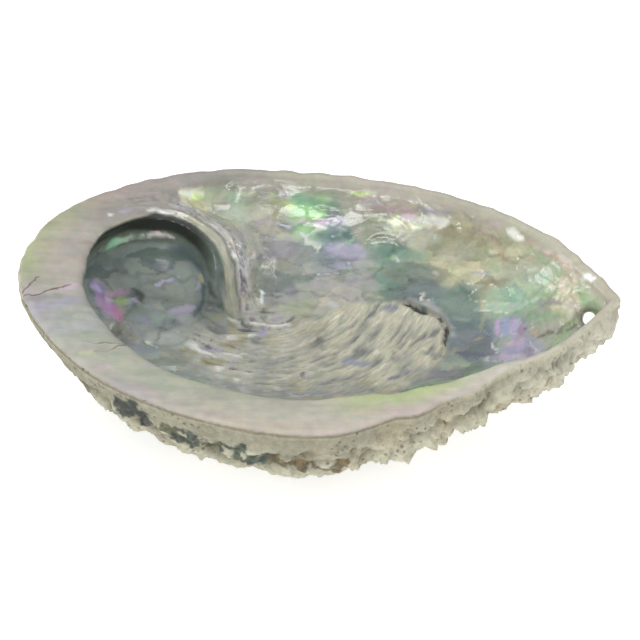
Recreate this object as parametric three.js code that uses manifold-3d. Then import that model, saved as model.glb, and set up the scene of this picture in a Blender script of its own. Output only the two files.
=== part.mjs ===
// An abalone shell, lying on its convex back with the pearly bowl open upwards.
// One grown piece: a shallow oval bowl with a flat inner lip along its front and round its spire
// end, a coiled hollow under that end, and a row of four open breathing pores at the other end.
// Millimetres. X runs from the spire end to the growing end, Y from the lip side to the far side,
// Z up. The origin is under the middle of the shell, on the surface that it rests on.

import * as THREE from 'three';
import { ParametricGeometry } from 'three/addons/geometries/ParametricGeometry.js';
import { mergeVertices } from 'three/addons/utils/BufferGeometryUtils.js';
import Module from 'manifold-3d';

// ---- Driving dimensions ----

// Height of the rim above the surface below, and how far the curve of the back would run past
// the small flat that it rests on.
const RIM_HEIGHT = 33;
const CROWN_SUNK = 1;

// The rim as seen from above, from the growing end round the far side to the spire end and back
// along the lip side, where the shell's ribs make it wavy.
const RIM = [
  [75, 1.3], [68.4, 13.6], [62.3, 22.9], [54, 31.2], [43.3, 38.5], [31, 45], [18, 49], [3, 52.2],
  [-14, 54], [-29, 53.8], [-41, 51], [-51, 46.8], [-60.5, 41.6], [-68, 33.5], [-73, 25],
  [-75.3, 16], [-75, 6], [-71, -5.7], [-65, -16], [-58, -25], [-48, -33.4], [-34, -41.6],
  [-20, -46.8], [-8, -49.4], [4, -49.4], [13, -46], [18.5, -42.8], [24.5, -42], [29.5, -37.6],
  [37.5, -33.8], [41.5, -29.8], [48, -24], [54.5, -20.8], [61, -15.8], [67, -9], [72.3, -2],
];

// The point above the small flat at the bottom. The walls are laid out as rays from it.
const CROWN = new THREE.Vector2(-7, 2);

// Width of the flat lip, as [direction from the crown in degrees, width].
const LIP_WIDTHS = [
  [-180, 17.4], [-160, 16.2], [-140, 15], [-105, 14.5], [-75, 15.5], [-60, 12.6], [-42, 9.4],
  [-27, 6.6], [-17, 2], [0, 1.5], [60, 1.5], [98, 1.5], [118, 6], [137, 13.9], [150, 14.5],
  [165, 16.5], [180, 17.4],
];

// Thicknesses of the wall, of the floor of the bowl and of the lip's overhanging edge, and the
// rounding of the brim.
const WALL = 4;
const FLOOR = 4.5;
const LIP_THICKNESS = 4.4;
const BRIM = 1.1;
const BRIM_DROP = BRIM / 2;
const BRIM_TUCK = 0.3 * BRIM;

// Up to the first width there is no lip, only a thin edge. From the second on the lip is flat.
const NO_LIP = 2.5;
const FULL_LIP = 8;

// The lip dips by this much halfway across. Its inner edge is rounded over from the first point
// to the second, each [distance out from the edge, depth below the rim], and tucks in below.
const LIP_DIP = 0.3;
const EDGE_ROUNDING = [[1.2, 0.8], [0, 2]];
const EDGE_TUCK = 0.6;

// The overhang below runs back to the bowl's wall through these points, each [depth at which it
// heads for the wall, share of the way to it, depth below the underside of the edge].
const OVERHANG = [[6, 0.45, 1], [7.5, 0.9, 2.6]];

// The thin edge, each [distance in from the rim, depth], and the depths of the wall's next rings.
const THIN_EDGE = [[2.2, 0.3], [3.2, 1.2], [3.9, 2.6]];
const THIN_WALL_DEPTHS = [4.2, 5.8, 7.5];

// Depth at which the round bowl begins.
const BOWL_DEPTH = 9.5;

// The coiled hollow under the spire end, as round sections from its floor to above the rim, each
// [height, x, y, radius]. Its mouth is narrower than the bulb below, and its floor lies forward.
const MOUTH_CENTRE = new THREE.Vector2(-41, 19);
const MOUTH_RADIUS = 17.3;
const HOLLOW_SECTIONS = [
  [6.3, -37, 10.5, 0], [7.2, -37.5, 11, 9], [10, -39.5, 12.5, 14], [14, -41.5, 14, 17],
  [19, -42.8, 15.5, 19.2], [24, -42.8, 17, 19.3], [28, -41.9, 18.3, 18.2],
  [30.5, -41.2, 19, 16.9], [32, -41, 19, 16.9], [33, -41, 19, 17.5], [36, -41, 19, 19],
  [36, -41, 19, 0],
];

// The shoulder between the hollow and the bowl: the height where its top begins, how far along the
// diagonal that is, how its top falls from there, how wide its crest is, how its flank rounds over
// into the bowl, and how far it falls in front of the hollow. Turns are in degrees round the
// mouth, clockwise from the growing end: its front falls over the first two, and ends with the
// others.
const SHOULDER_TOP = RIM_HEIGHT - 1;
const SHOULDER_START = -62;
const SHOULDER_RUN = 36;
const SHOULDER_FALL = 12;
const SHOULDER_POWER = 1.6;
const SHOULDER_CREST = 3.2;
const SHOULDER_ROUNDING = 4;
const FLANK_ROUNDING = 13;
const FRONT_FALL = 24;
const FRONT_TURNS = [-38, 2];
const FALL_ENDS = [150, 178];

// Directions from the crown, in degrees, between which the shoulder takes the place of the bowl's
// wall, and those over which it gives way to the lip's overhang again.
const SHOULDER_FROM = [98, 126];
const SHOULDER_TO = [158, 174];

// The low spire on the outside of the back, below the hollow.
const SPIRE_CENTRE = new THREE.Vector2(-45, 14);
const SPIRE_REACH = 16;
const SPIRE_DEPTH = 2.6;

// Open breathing pores, the first through the floor of the growing end and the others in the
// front wall: place, direction outwards, and radius.
const PORE_LENGTH = 12;
const PORES = [
  { at: [67, 3.5, 24.9], out: [0.02, 0.76, -0.65], radius: 1.9 },
  { at: [63.5, -7.6, 24.4], out: [0.72, -0.55, -0.42], radius: 2.2 },
  { at: [56.1, -14.7, 23.6], out: [0.62, -0.68, -0.39], radius: 2.2 },
  { at: [43.7, -23.5, 21.8], out: [0.5, -0.76, -0.42], radius: 2.2 },
];

// How finely the walls are divided. Of the rings inside the rim, the first few form the brim, and
// those up to the next number form the overhang below it.
const RAYS = 84;
const HOLLOW_STEPS = 36;
const PORE_STEPS = 14;
const OUTER_RINGS = 11;
const BRIM_RINGS = 3;
const OVERHANG_RINGS = 6;
const INNER_RINGS = 12;
const WELD = 1e-4;

const DEGREES = Math.PI / 180;

// ---- Small helpers ----

const mix = THREE.MathUtils.lerp;
const smoothstep = THREE.MathUtils.smoothstep;

// The larger of two heights, with the corner between them rounded over a distance.
function roundedMax(a, b, rounding) {
  const overlap = Math.max(rounding - Math.abs(a - b), 0) / rounding;
  return Math.max(a, b) + overlap * overlap * rounding / 4;
}

// The value at an angle in a list of [degrees, value].
function atAngle(list, angle) {
  const degrees = angle / DEGREES;
  const next = list.findIndex(([limit]) => limit >= degrees);
  const [from, before] = list[Math.max(next - 1, 0)];
  const [to, after] = list[Math.max(next, 1)];
  return mix(before, after, smoothstep(degrees, from, to));
}

// ---- The rim ----

const rimCurve = new THREE.CatmullRomCurve3(
  RIM.map(([x, y]) => new THREE.Vector3(x, y, 0)), true, 'centripetal',
);

// Distances from the crown to the rim at close steps of angle.
const RIM_STEPS = 1440;
const rimByAngle = rimCurve.getSpacedPoints(RIM_STEPS).map((point) => {
  const away = new THREE.Vector2(point.x, point.y).sub(CROWN);
  return [Math.atan2(away.y, away.x) / DEGREES, away.length()];
}).sort((a, b) => a[0] - b[0]);

function rimDistance(angle) {
  const degrees = angle / DEGREES;
  const next = rimByAngle.findIndex(([limit]) => limit >= degrees);
  const after = next < 0 ? rimByAngle[0] : rimByAngle[next];
  const before = rimByAngle[(Math.max(next, 0) + rimByAngle.length - 1) % rimByAngle.length];
  const span = after[0] - before[0];
  return span > 0 ? mix(before[1], after[1], (degrees - before[0]) / span) : after[1];
}

// ---- The walls, as a profile of [distance from the crown, height] along each ray ----

// The back curves as a quarter ellipse. It is flat as far as this share of the distance to the
// rim, and its last ring, just under the rounded brim, is at this angle of the ellipse.
const FLAT_SHARE = Math.sqrt(1 - (RIM_HEIGHT / (RIM_HEIGHT + CROWN_SUNK)) ** 2);
const BRIM_CLIMB = 87.4 * DEGREES;

// Height of the outside at a share of the distance to the rim.
function outsideHeight(share, x, y) {
  const depth = (RIM_HEIGHT + CROWN_SUNK) * Math.sqrt(Math.max(1 - share * share, 0));
  const away = Math.hypot(x - SPIRE_CENTRE.x, y - SPIRE_CENTRE.y) / SPIRE_REACH;
  const spire = SPIRE_DEPTH * Math.exp(-away * away);
  return Math.max(RIM_HEIGHT - depth - spire, 0);
}

// From the crown out to the rounded brim.
function outsideProfile(angle, rim) {
  const profile = [[0, 0]];
  for (let ring = 1; ring <= OUTER_RINGS; ring += 1) {
    const along = (ring - 1) / (OUTER_RINGS - 1);
    const share = Math.sin(mix(Math.asin(FLAT_SHARE), BRIM_CLIMB, along));
    const x = CROWN.x + Math.cos(angle) * rim * share;
    const y = CROWN.y + Math.sin(angle) * rim * share;
    profile.push([rim * share, outsideHeight(share, x, y)]);
  }
  profile.push([rim - BRIM_TUCK, RIM_HEIGHT - BRIM_DROP]);
  profile.push([rim - BRIM, RIM_HEIGHT]);
  return profile;
}

// Distance from the crown of the bowl's wall at a depth below the rim.
function bowlReach(rim, depth) {
  const share = depth / (RIM_HEIGHT - FLOOR);
  return (rim - WALL) * Math.sqrt(1 - share * share);
}

// Height of the bowl's floor and walls at a distance from the crown.
function bowlHeight(rim, distance) {
  const share = Math.min(distance / (rim - WALL), 1);
  return RIM_HEIGHT - (RIM_HEIGHT - FLOOR) * Math.sqrt(1 - share * share);
}

// Height of the shoulder round the hollow. Its top falls away from the far left to the near right,
// its flank slopes down into the bowl, and it dies out towards the front.
function shoulderHeight(x, y) {
  const along = Math.max((x - y) * Math.SQRT1_2 - SHOULDER_START, 0) / SHOULDER_RUN;
  const fall = SHOULDER_FALL * along ** SHOULDER_POWER;
  const fromMouth = Math.hypot(x - MOUTH_CENTRE.x, y - MOUTH_CENTRE.y);
  const beyond = Math.max(fromMouth - MOUTH_RADIUS - SHOULDER_CREST, 0);
  const flank = beyond * beyond / (beyond + FLANK_ROUNDING);
  const turn = -Math.atan2(y - MOUTH_CENTRE.y, x - MOUTH_CENTRE.x) / DEGREES;
  const front = smoothstep(turn, ...FRONT_TURNS) * (1 - smoothstep(turn, ...FALL_ENDS));
  return SHOULDER_TOP - fall - flank - front * FRONT_FALL;
}

// From the brim inwards where the lip is flat and hangs over the bowl.
function lipProfile(rim, width) {
  const edge = rim - width;
  const under = RIM_HEIGHT - LIP_THICKNESS;
  return [
    [edge + width / 2, RIM_HEIGHT - LIP_DIP],
    ...EDGE_ROUNDING.map(([out, depth]) => [edge + out, RIM_HEIGHT - depth]),
    [edge + EDGE_TUCK, under],
    ...OVERHANG.map(([depth, share, drop]) => [
      mix(edge, bowlReach(rim, depth), share), under - drop,
    ]),
  ];
}

// From the brim inwards where the wall rises to a thin edge.
function thinProfile(rim) {
  return [
    ...THIN_EDGE.map(([inwards, depth]) => [rim - inwards, RIM_HEIGHT - depth]),
    ...THIN_WALL_DEPTHS.map((depth) => [bowlReach(rim, depth), RIM_HEIGHT - depth]),
  ];
}

// From the brim inwards to the middle of the bowl. Round the hollow, the shoulder runs level with
// the lip in place of the overhang and the bowl below it.
function insideProfile(angle, rim) {
  const width = atAngle(LIP_WIDTHS, angle);
  const lip = smoothstep(width, NO_LIP, FULL_LIP);
  const thin = thinProfile(rim);
  const bowl = lipProfile(rim, width).map(([distance, height], ring) => [
    mix(thin[ring][0], distance, lip), mix(thin[ring][1], height, lip),
  ]);
  for (let ring = 0; ring <= INNER_RINGS; ring += 1) {
    const distance = bowlReach(rim, BOWL_DEPTH) * Math.cos(ring / INNER_RINGS * 90 * DEGREES);
    bowl.push([distance, bowlHeight(rim, distance)]);
  }
  const degrees = angle / DEGREES;
  const shoulder = smoothstep(degrees, ...SHOULDER_FROM)
    * (1 - smoothstep(degrees, ...SHOULDER_TO));
  const last = bowl.length - 1;
  return bowl.map(([distance, height], ring) => {
    if (ring < BRIM_RINGS) return [distance, height];
    const level = (rim - width) * (last - ring) / (last - BRIM_RINGS + 1);
    const reach = mix(distance, level, shoulder);
    const low = mix(height, bowlHeight(rim, reach), shoulder);
    const x = CROWN.x + Math.cos(angle) * reach;
    const y = CROWN.y + Math.sin(angle) * reach;
    const raised = roundedMax(low, shoulderHeight(x, y), SHOULDER_ROUNDING);
    const top = mix(low, raised, ring < OVERHANG_RINGS ? shoulder : 1);
    return [reach, Math.min(top, RIM_HEIGHT)];
  });
}

function wallProfile(angle) {
  const rim = rimDistance(angle);
  return [...outsideProfile(angle, rim), ...insideProfile(angle, rim)];
}

// ---- Solids ----

const wasm = await Module();
wasm.setup();

// A closed solid from a geometry whose seams and poles still have doubled points.
function toSolid(geometry) {
  const bare = geometry.clone();
  bare.deleteAttribute('normal');
  bare.deleteAttribute('uv');
  const welded = mergeVertices(bare, WELD);
  const corners = welded.index.array;
  const kept = [];
  for (let i = 0; i < corners.length; i += 3) {
    const [a, b, c] = [corners[i], corners[i + 1], corners[i + 2]];
    if (a !== b && b !== c && c !== a) kept.push(a, b, c);
  }
  return new wasm.Manifold(new wasm.Mesh({
    numProp: 3,
    vertProperties: new Float32Array(welded.attributes.position.array),
    triVerts: new Uint32Array(kept),
  }));
}

function shellBody() {
  const profiles = [];
  for (let ray = 0; ray < RAYS; ray += 1) {
    profiles.push(wallProfile((ray / RAYS * 360 - 180) * DEGREES));
  }
  const rings = profiles[0].length - 1;
  const surface = (u, v, target) => {
    const ray = Math.round(u * RAYS) % RAYS;
    const angle = (ray / RAYS * 360 - 180) * DEGREES;
    const [distance, height] = profiles[ray][Math.round(v * rings)];
    target.set(
      CROWN.x + Math.cos(angle) * distance, CROWN.y + Math.sin(angle) * distance, height,
    );
  };
  return toSolid(new ParametricGeometry(surface, RAYS, rings));
}

function hollow() {
  const last = HOLLOW_SECTIONS.length - 1;
  const surface = (u, v, target) => {
    const turn = Math.round(u * HOLLOW_STEPS) % HOLLOW_STEPS / HOLLOW_STEPS * 360 * DEGREES;
    const [height, x, y, radius] = HOLLOW_SECTIONS[Math.round(v * last)];
    target.set(x + Math.cos(turn) * radius, y + Math.sin(turn) * radius, height);
  };
  return toSolid(new ParametricGeometry(surface, HOLLOW_STEPS, last));
}

function pore({ at, out, radius }) {
  const drill = new THREE.CylinderGeometry(radius, radius, PORE_LENGTH, PORE_STEPS);
  const direction = new THREE.Vector3(...out).normalize();
  const turn = new THREE.Quaternion().setFromUnitVectors(new THREE.Vector3(0, 1, 0), direction);
  drill.applyQuaternion(turn);
  drill.translate(...at);
  return toSolid(drill);
}

function shellGeometry() {
  let solid = shellBody().subtract(hollow());
  PORES.forEach((place) => {
    solid = solid.subtract(pore(place));
  });
  const mesh = solid.getMesh();
  const geometry = new THREE.BufferGeometry();
  geometry.setAttribute('position', new THREE.BufferAttribute(mesh.vertProperties, 3));
  geometry.setIndex(new THREE.BufferAttribute(mesh.triVerts, 1));
  geometry.computeBoundingBox();
  const middle = geometry.boundingBox.getCenter(new THREE.Vector3());
  geometry.translate(-middle.x, -middle.y, 0);
  geometry.computeVertexNormals();
  return geometry;
}

// ---- The object ----

const nacre = new THREE.MeshStandardMaterial({ color: 0xa9ad98, roughness: 0.35, metalness: 0 });

const shell = new THREE.Mesh(shellGeometry(), nacre);
shell.name = 'abalone_shell';

const abalone = new THREE.Group();
abalone.add(shell);

export default abalone;
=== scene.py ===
import math
from itertools import product
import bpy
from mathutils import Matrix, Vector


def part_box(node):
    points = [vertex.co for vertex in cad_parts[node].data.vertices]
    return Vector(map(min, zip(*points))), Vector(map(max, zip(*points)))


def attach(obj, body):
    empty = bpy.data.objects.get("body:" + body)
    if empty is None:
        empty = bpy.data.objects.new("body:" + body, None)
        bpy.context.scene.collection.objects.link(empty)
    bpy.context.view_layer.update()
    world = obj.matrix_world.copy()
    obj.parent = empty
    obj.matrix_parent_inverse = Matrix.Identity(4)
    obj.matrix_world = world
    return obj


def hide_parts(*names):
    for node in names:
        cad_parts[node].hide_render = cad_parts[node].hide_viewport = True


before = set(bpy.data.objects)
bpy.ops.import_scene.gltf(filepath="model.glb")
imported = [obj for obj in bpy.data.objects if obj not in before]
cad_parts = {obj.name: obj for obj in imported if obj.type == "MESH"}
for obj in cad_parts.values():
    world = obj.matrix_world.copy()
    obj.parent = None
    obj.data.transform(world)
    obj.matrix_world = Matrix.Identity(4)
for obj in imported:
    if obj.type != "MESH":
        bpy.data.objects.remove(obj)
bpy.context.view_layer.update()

from types import SimpleNamespace

import bpy
import numpy as np

# An abalone shell, lying on its back. Lengths are in millimetres unless a name says otherwise,
# in the frame's own axes: X to the growing end, Y to the far side, Z up.
MM = 0.001
NODE = "abalone_shell"
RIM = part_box(NODE)[1].z / MM
# Middles, seen from above: of the back, of the hollow's mouth, of the hollow's widest part, of the
# arcs that the scar's fibres follow, and of the spire.
CROWN = np.array([-6.74, -0.2])
MOUTH = np.array([-40.7, 16.8])
BULB = np.array([-42.6, 14.0])
POLE = np.array([-20.0, 42.0])
SPIRE = np.array([-44.7, 11.8])
# How far the curve of the back would run past the flat that the shell rests on.
CROWN_SUNK = 1.0

# Size of the fine mesh's squares, rounds of smoothing in each part, and triangles at the end.
VOXEL = 0.6
SMOOTH_ALL = 6
SMOOTH_BOWL = 36
SMOOTH_FOOT = 110
FACE_LIMIT = 192000
LEAST_WEIGHT = 0.01


# ---- Number work on all points at once ----

def ease(low, high, value):
    """0 up to low and 1 from high on, with a smooth rise between. Low may be the larger."""
    t = np.clip((value - low) / (high - low), 0.0, 1.0)
    return t * t * (3.0 - 2.0 * t)


def mix(a, b, share):
    return a + (b - a) * share


def bell(value, middle, width):
    """1 at the middle, falling away on both sides."""
    return np.exp(-((value - middle) / width) ** 2)


def bumps(near, size):
    """Domes round the cell centres, from 1 on top to 0 at their feet."""
    return np.clip(1.0 - (near / size) ** 2, 0.0, 1.0)


def length(vectors):
    return np.linalg.norm(vectors, axis=1)


def lattice(cells, seed):
    """A repeatable number from 0 to 1 for each whole-number cell."""
    n = cells[:, 0] * 374761393 + cells[:, 1] * 668265263 + cells[:, 2] * 1440662683
    n = (n + seed * 974634777) & 0xFFFFFFFF
    n = ((n ^ (n >> 13)) * 1274126177) & 0xFFFFFFFF
    n = ((n ^ (n >> 15)) * 2246822519) & 0xFFFFFFFF
    return ((n ^ (n >> 16)) & 0xFFFFFF) / float(0xFFFFFF)


def noise(points, size, seed=0):
    """Smooth noise from -1 to 1, with lumps of this size."""
    at = points / size
    base = np.floor(at).astype(np.int64)
    part = at - base
    part = part * part * (3.0 - 2.0 * part)
    total = np.zeros(len(points))
    for corner in product((0, 1), repeat=3):
        share = np.prod(np.where(corner, part, 1.0 - part), axis=1)
        total += share * lattice(base + np.array(corner), seed)
    return total * 2.0 - 1.0


def rough_noise(points, size, octaves=3, seed=0):
    total = np.zeros(len(points))
    for octave in range(octaves):
        total += noise(points, size / 2 ** octave, seed + octave) / 2 ** octave
    return total


def warped(points, size, amount, seed=0):
    shift = [noise(points, size, seed + 11 * axis) for axis in range(3)]
    return points + amount * np.stack(shift, axis=1)


def cells(points, size, seed=0):
    """Distance to the nearest and next cell centre in cells, the way to the nearest one in
    millimetres, and three random numbers for it."""
    at = points / size
    base = np.floor(at).astype(np.int64)
    near = np.full(len(points), 9.0)
    nearer = np.full(len(points), 9.0)
    way = np.zeros_like(points)
    home = base.copy()
    for step in product((-1, 0, 1), repeat=3):
        cell = base + np.array(step)
        jitter = np.stack([lattice(cell, seed + axis) for axis in (1, 2, 3)], axis=1)
        towards = cell + jitter - at
        away = length(towards)
        closer = away < near
        nearer = np.where(closer, near, np.minimum(nearer, away))
        near = np.where(closer, away, near)
        way[closer] = towards[closer] * size
        home[closer] = cell[closer]
    chance = np.stack([lattice(home, seed + extra) for extra in (5, 6, 7)], axis=1)
    return near, nearer, way, chance


def srgb(*levels):
    """Linear light from screen levels of 0 to 255."""
    c = np.array(levels, float) / 255.0
    return np.where(c <= 0.04045, c / 12.92, ((c + 0.055) / 1.055) ** 2.4)


def select_only(ob):
    bpy.ops.object.select_all(action="DESELECT")
    ob.select_set(True)
    bpy.context.view_layer.objects.active = ob


def apply_modifier(ob, kind, **settings):
    modifier = ob.modifiers.new(kind.lower(), kind)
    for key, value in settings.items():
        setattr(modifier, key, value)
    select_only(ob)
    bpy.ops.object.modifier_apply(modifier=modifier.name)


# ---- Where each point of the shell lies ----

# The open breathing pores: a place on the axis, the way it runs, and the radius.
OPEN_PORES = [
    ((67.26, 1.3, 24.9), (0.02, 0.76, -0.65), 1.9),
    ((63.76, -9.8, 24.4), (0.72, -0.55, -0.42), 2.2),
    ((56.36, -16.9, 23.6), (0.62, -0.68, -0.39), 2.2),
    ((43.96, -25.7, 21.8), (0.50, -0.76, -0.42), 2.2),
]
# Height of the hollow's edge, by direction from the middle of its mouth in degrees.
EDGE_TURNS = (0.0, 18.0, 24.0, 30.0, 36.0, 43.0, 55.0, 75.0, 95.0, 125.0, 150.0, 175.0)
EDGE_HEIGHTS = (11.0, 13.5, 18.0, 21.5, 24.0, 26.6, 28.4, 30.2, 31.0, 31.6, 32.2, 32.4)


def pore_nearness(points):
    """1 in and right beside an open pore, falling to 0; and the same for a wider ring."""
    beside = np.zeros(len(points))
    around = np.zeros(len(points))
    for place, way, radius in OPEN_PORES:
        axis = np.array(way) / np.linalg.norm(way)
        offset = points - np.array(place)
        along = offset @ axis
        away = length(offset - along[:, None] * axis)
        close = np.abs(along) < 7.0
        beside = np.maximum(beside, ease(radius + 1.6, radius + 0.4, away) * close)
        around = np.maximum(around, ease(radius + 3.0, radius + 0.6, away) * close)
    return beside, around


def read_points(ob):
    mesh = ob.data
    co = np.empty(len(mesh.vertices) * 3, np.float32)
    mesh.vertices.foreach_get("co", co)
    normal = np.empty(len(mesh.vertices) * 3, np.float32)
    mesh.vertices.foreach_get("normal", normal)
    return co.reshape(-1, 3).astype(float) / MM, normal.reshape(-1, 3).astype(float)


def write_points(ob, points):
    ob.data.vertices.foreach_set("co", (points * MM).astype(np.float32).ravel())
    ob.data.update()


def rim_of_the_frame():
    """Angles about the crown, and distances to the widest ring of the CAD shell at them."""
    points, _ = read_points(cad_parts[NODE])
    ring = points[np.abs(points[:, 2] - (RIM - 0.55)) < 0.05]
    away = ring[:, :2] - CROWN
    angle = np.arctan2(away[:, 1], away[:, 0])
    order = np.argsort(angle)
    return angle[order], length(away)[order]


def locate(points, rim_ring):
    """Each point's direction and distance from the crown, and how much it belongs to the
    outside, the flat lip, the hollow, the muscle scar and the bowl."""
    away = points[:, :2] - CROWN
    at = SimpleNamespace(p=points, x=points[:, 0], y=points[:, 1], z=points[:, 2])
    at.angle = np.arctan2(away[:, 1], away[:, 0])
    at.reach = length(away)
    at.rim = np.interp(at.angle, *rim_ring, period=2.0 * math.pi)
    at.inward = at.rim - at.reach
    share = np.clip(at.reach / at.rim, 0.0, 1.0)
    depth = (RIM + CROWN_SUNK) * np.sqrt(1.0 - share ** 2)
    above_back = at.z - np.maximum(RIM - depth, 0.0)
    dome = np.clip((RIM - at.z) / (RIM + CROWN_SUNK), 0.0, 1.0)
    within_back = (np.sqrt(1.0 - dome ** 2) - share) * at.rim
    buried = np.minimum(above_back, within_back)
    at.outside = ease(2.2, 1.4, buried) * ease(RIM - 0.15, RIM - 0.9, at.z)
    at.inside = 1.0 - at.outside
    at.below = RIM - at.z
    at.lip = ease(2.6, 1.5, at.below) * at.inside
    mouth = points[:, :2] - MOUTH
    at.from_mouth = length(mouth)
    at.mouth_turn = np.degrees(np.arctan2(mouth[:, 1], mouth[:, 0]))
    at.from_bulb = length(points[:, :2] - BULB)
    # Under the far wall the hollow's mask reaches a little further, so that its painted shade runs up
    # to the overhanging edge.
    far_wall = ease(68.0, 84.0, at.mouth_turn) * ease(172.0, 150.0, at.mouth_turn)
    reach = 20.8 + 1.0 * far_wall
    coil = ease(reach, reach - 1.2 + 0.6 * far_wall, at.from_bulb) * at.inside
    coil *= ease(1.0, 1.9, at.below)
    at.lip *= 1.0 - coil * far_wall
    at.hollow = coil * np.maximum(ease(14.5, 20.5, at.y), ease(-50.0, -56.0, at.x))
    # The inner face of the ridge counts as hollow too, so that the hollow's painted shade covers it.
    inner_face = ease(19.2, 18.2, at.from_mouth + 0.3 * noise(points, 2.5, 29)) * at.inside
    inner_face *= ease(16.0, 26.0, at.mouth_turn) * ease(92.0, 80.0, at.mouth_turn)
    at.hollow = np.maximum(at.hollow, inner_face)
    turn = math.radians(14.0)
    u = (at.x - 5.0) * math.cos(turn) + (at.y - 6.5) * math.sin(turn)
    v = (at.y - 6.5) * math.cos(turn) - (at.x - 5.0) * math.sin(turn)
    loose_side = ease(16.0, 2.0, at.x)
    broken = noise(points, 5.0, 31) + loose_side * 3.4 * noise(points * RELIEF_STRETCH, 3.2, 33)
    at.scar_edge = np.hypot(u / 28.5, v / 17.0) + 0.03 * broken
    at.scar = ease(1.05, 0.97 - 0.05 * loose_side, at.scar_edge) * at.inside
    at.scar *= ease(6.0, 9.0, at.below)
    at.scar *= ease(-26.0, -12.0, at.x + 5.0 * noise(points, 4.0, 35))
    at.bowl = at.inside * (1.0 - at.lip) * (1.0 - at.hollow) * (1.0 - at.scar)
    swirl = points[:, :2] - POLE
    at.sweep = np.arctan2(swirl[:, 1], swirl[:, 0])
    at.strand = length(swirl)
    spire = points[:, :2] - SPIRE
    at.spire_reach = length(spire)
    at.spire_angle = np.arctan2(spire[:, 1], spire[:, 0])
    band = ease(16.6, 18.2, at.from_mouth) * ease(27.5, 24.0, at.from_mouth)
    facing = ease(-12.0, 4.0, at.mouth_turn) * ease(128.0, 100.0, at.mouth_turn)
    at.ridge = band * facing * at.inside * ease(7.5, 11.0, at.z)
    at.bore, at.bore_ring = pore_nearness(points)
    crumpled = np.hypot((at.x + 15.0) / 20.0, (at.y - 11.0) / 15.5) + 0.18 * noise(points, 6.0, 37)
    at.crumple = ease(1.05, 0.75, crumpled) * at.inside * ease(6.0, 9.0, at.below)
    at.crumple *= (1.0 - at.hollow) * (1.0 - at.ridge)
    return at


# ---- Relief ----

# Sizes and heights of the knobs, warts and pits of the crust, the size and tilt of its chipped
# faces, and how many ribs fan out from the spire.
KNOB_SIZE, KNOB_HEIGHT, KNOB_GAIN = 6.2, 1.8, 0.9
WART_SIZE, WART_HEIGHT = 2.9, 0.6
PIT_SIZE, PIT_DEPTH = 3.0, 0.8
CHIP_SIZE, CHIP_TILT = 4.4, 0.55
RIBS = 26.0


def crust_relief(at):
    """How far the rough outside stands out."""
    near, _, _, chance = cells(warped(at.p, 5.0, 1.6, 3), KNOB_SIZE, 21)
    knobs = bumps(near, 0.64) ** 0.65 * (0.2 + 0.8 * chance[:, 0])
    near, _, _, chance = cells(warped(at.p, 2.0, 0.6, 9), WART_SIZE, 41)
    warts = bumps(near, 0.6) * chance[:, 0]
    near, _, _, chance = cells(at.p, PIT_SIZE, 61)
    pits = bumps(near, 0.42) * (chance[:, 0] > 0.5)
    turns = at.spire_angle / (2.0 * math.pi) + 2.1 * np.log(np.maximum(at.spire_reach, 4.0))
    growth = np.sin(2.0 * math.pi * turns * 2.0)
    ribs = np.sin(at.spire_angle * RIBS + 0.9 * growth + 1.5 * noise(at.p, 18.0, 51))
    _, _, way, chance = cells(warped(at.p, 2.6, 1.0, 67), CHIP_SIZE, 69)
    chips = np.sum((chance - 0.5) * way, axis=1)
    rough = rough_noise(at.p, 1.5, 2, 71)
    swell = ease(-10.0, 30.0, at.x)
    relief = (KNOB_HEIGHT + KNOB_GAIN * swell) * knobs + WART_HEIGHT * warts
    relief = relief - PIT_DEPTH * pits + CHIP_TILT * chips
    return relief + 0.35 * growth + (0.3 + 0.5 * swell) * ribs + 0.30 * rough


# Each crater on the outside, from the growing end back: place, radius and height.
PORE_CRATERS = [
    ((69.0, 4.6, 20.6), 3.1, 1.2), ((65.2, -10.9, 23.6), 3.1, 1.8),
    ((57.8, -18.4, 22.8), 3.1, 2.0), ((45.1, -27.4, 21.0), 3.2, 2.2),
    ((36.7, -33.2, 21.4), 3.2, 2.2), ((28.2, -37.2, 21.6), 3.1, 2.0),
    ((17.5, -41.6, 20.5), 3.0, 1.4), ((6.5, -45.2, 19.5), 2.8, 1.1),
    ((-5.0, -46.6, 18.0), 2.6, 0.9),
]


def pore_relief(at):
    """Raised craters of the row of breathing pores, seen on the outside."""
    relief = np.zeros(len(at.x))
    for place, radius, height in PORE_CRATERS:
        away = length(at.p - np.array(place)) / radius
        relief += height * bell(away, 1.0, 0.38) - 0.55 * height * bell(away, 0.0, 0.62)
    return relief


# Where one large plate under the far rim lies level with those beside it.
CALM_PLACE = np.array([13.0, 43.3, 28.1])
# How the patterns of the relief are drawn out along the shell.
RELIEF_STRETCH = np.array([0.6, 1.0, 1.0])


def plate_relief(at):
    """Gently tilted plates of pearl, with a faint step between them."""
    near, nearer, way, chance = cells(warped(at.p * RELIEF_STRETCH, 5.0, 2.0, 81), 5.2, 91)
    tilt = np.sum((chance - 0.5) * way, axis=1) * 0.16
    seam = ease(0.12, 0.0, nearer - near)
    _, _, way2, chance2 = cells(warped(at.p * RELIEF_STRETCH, 3.0, 1.2, 101), 2.4, 111)
    tilt2 = np.sum((chance2 - 0.5) * way2, axis=1) * 0.16
    calm = ease(5.0, 3.0, length(at.p - CALM_PLACE))
    tilt *= 1.0 - calm
    swell = 0.4 * noise(at.p, 11.0, 121) + 0.06 * noise(at.p * RELIEF_STRETCH, 2.4, 125)
    return tilt + tilt2 * 0.55 + swell - 0.12 * seam


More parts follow.
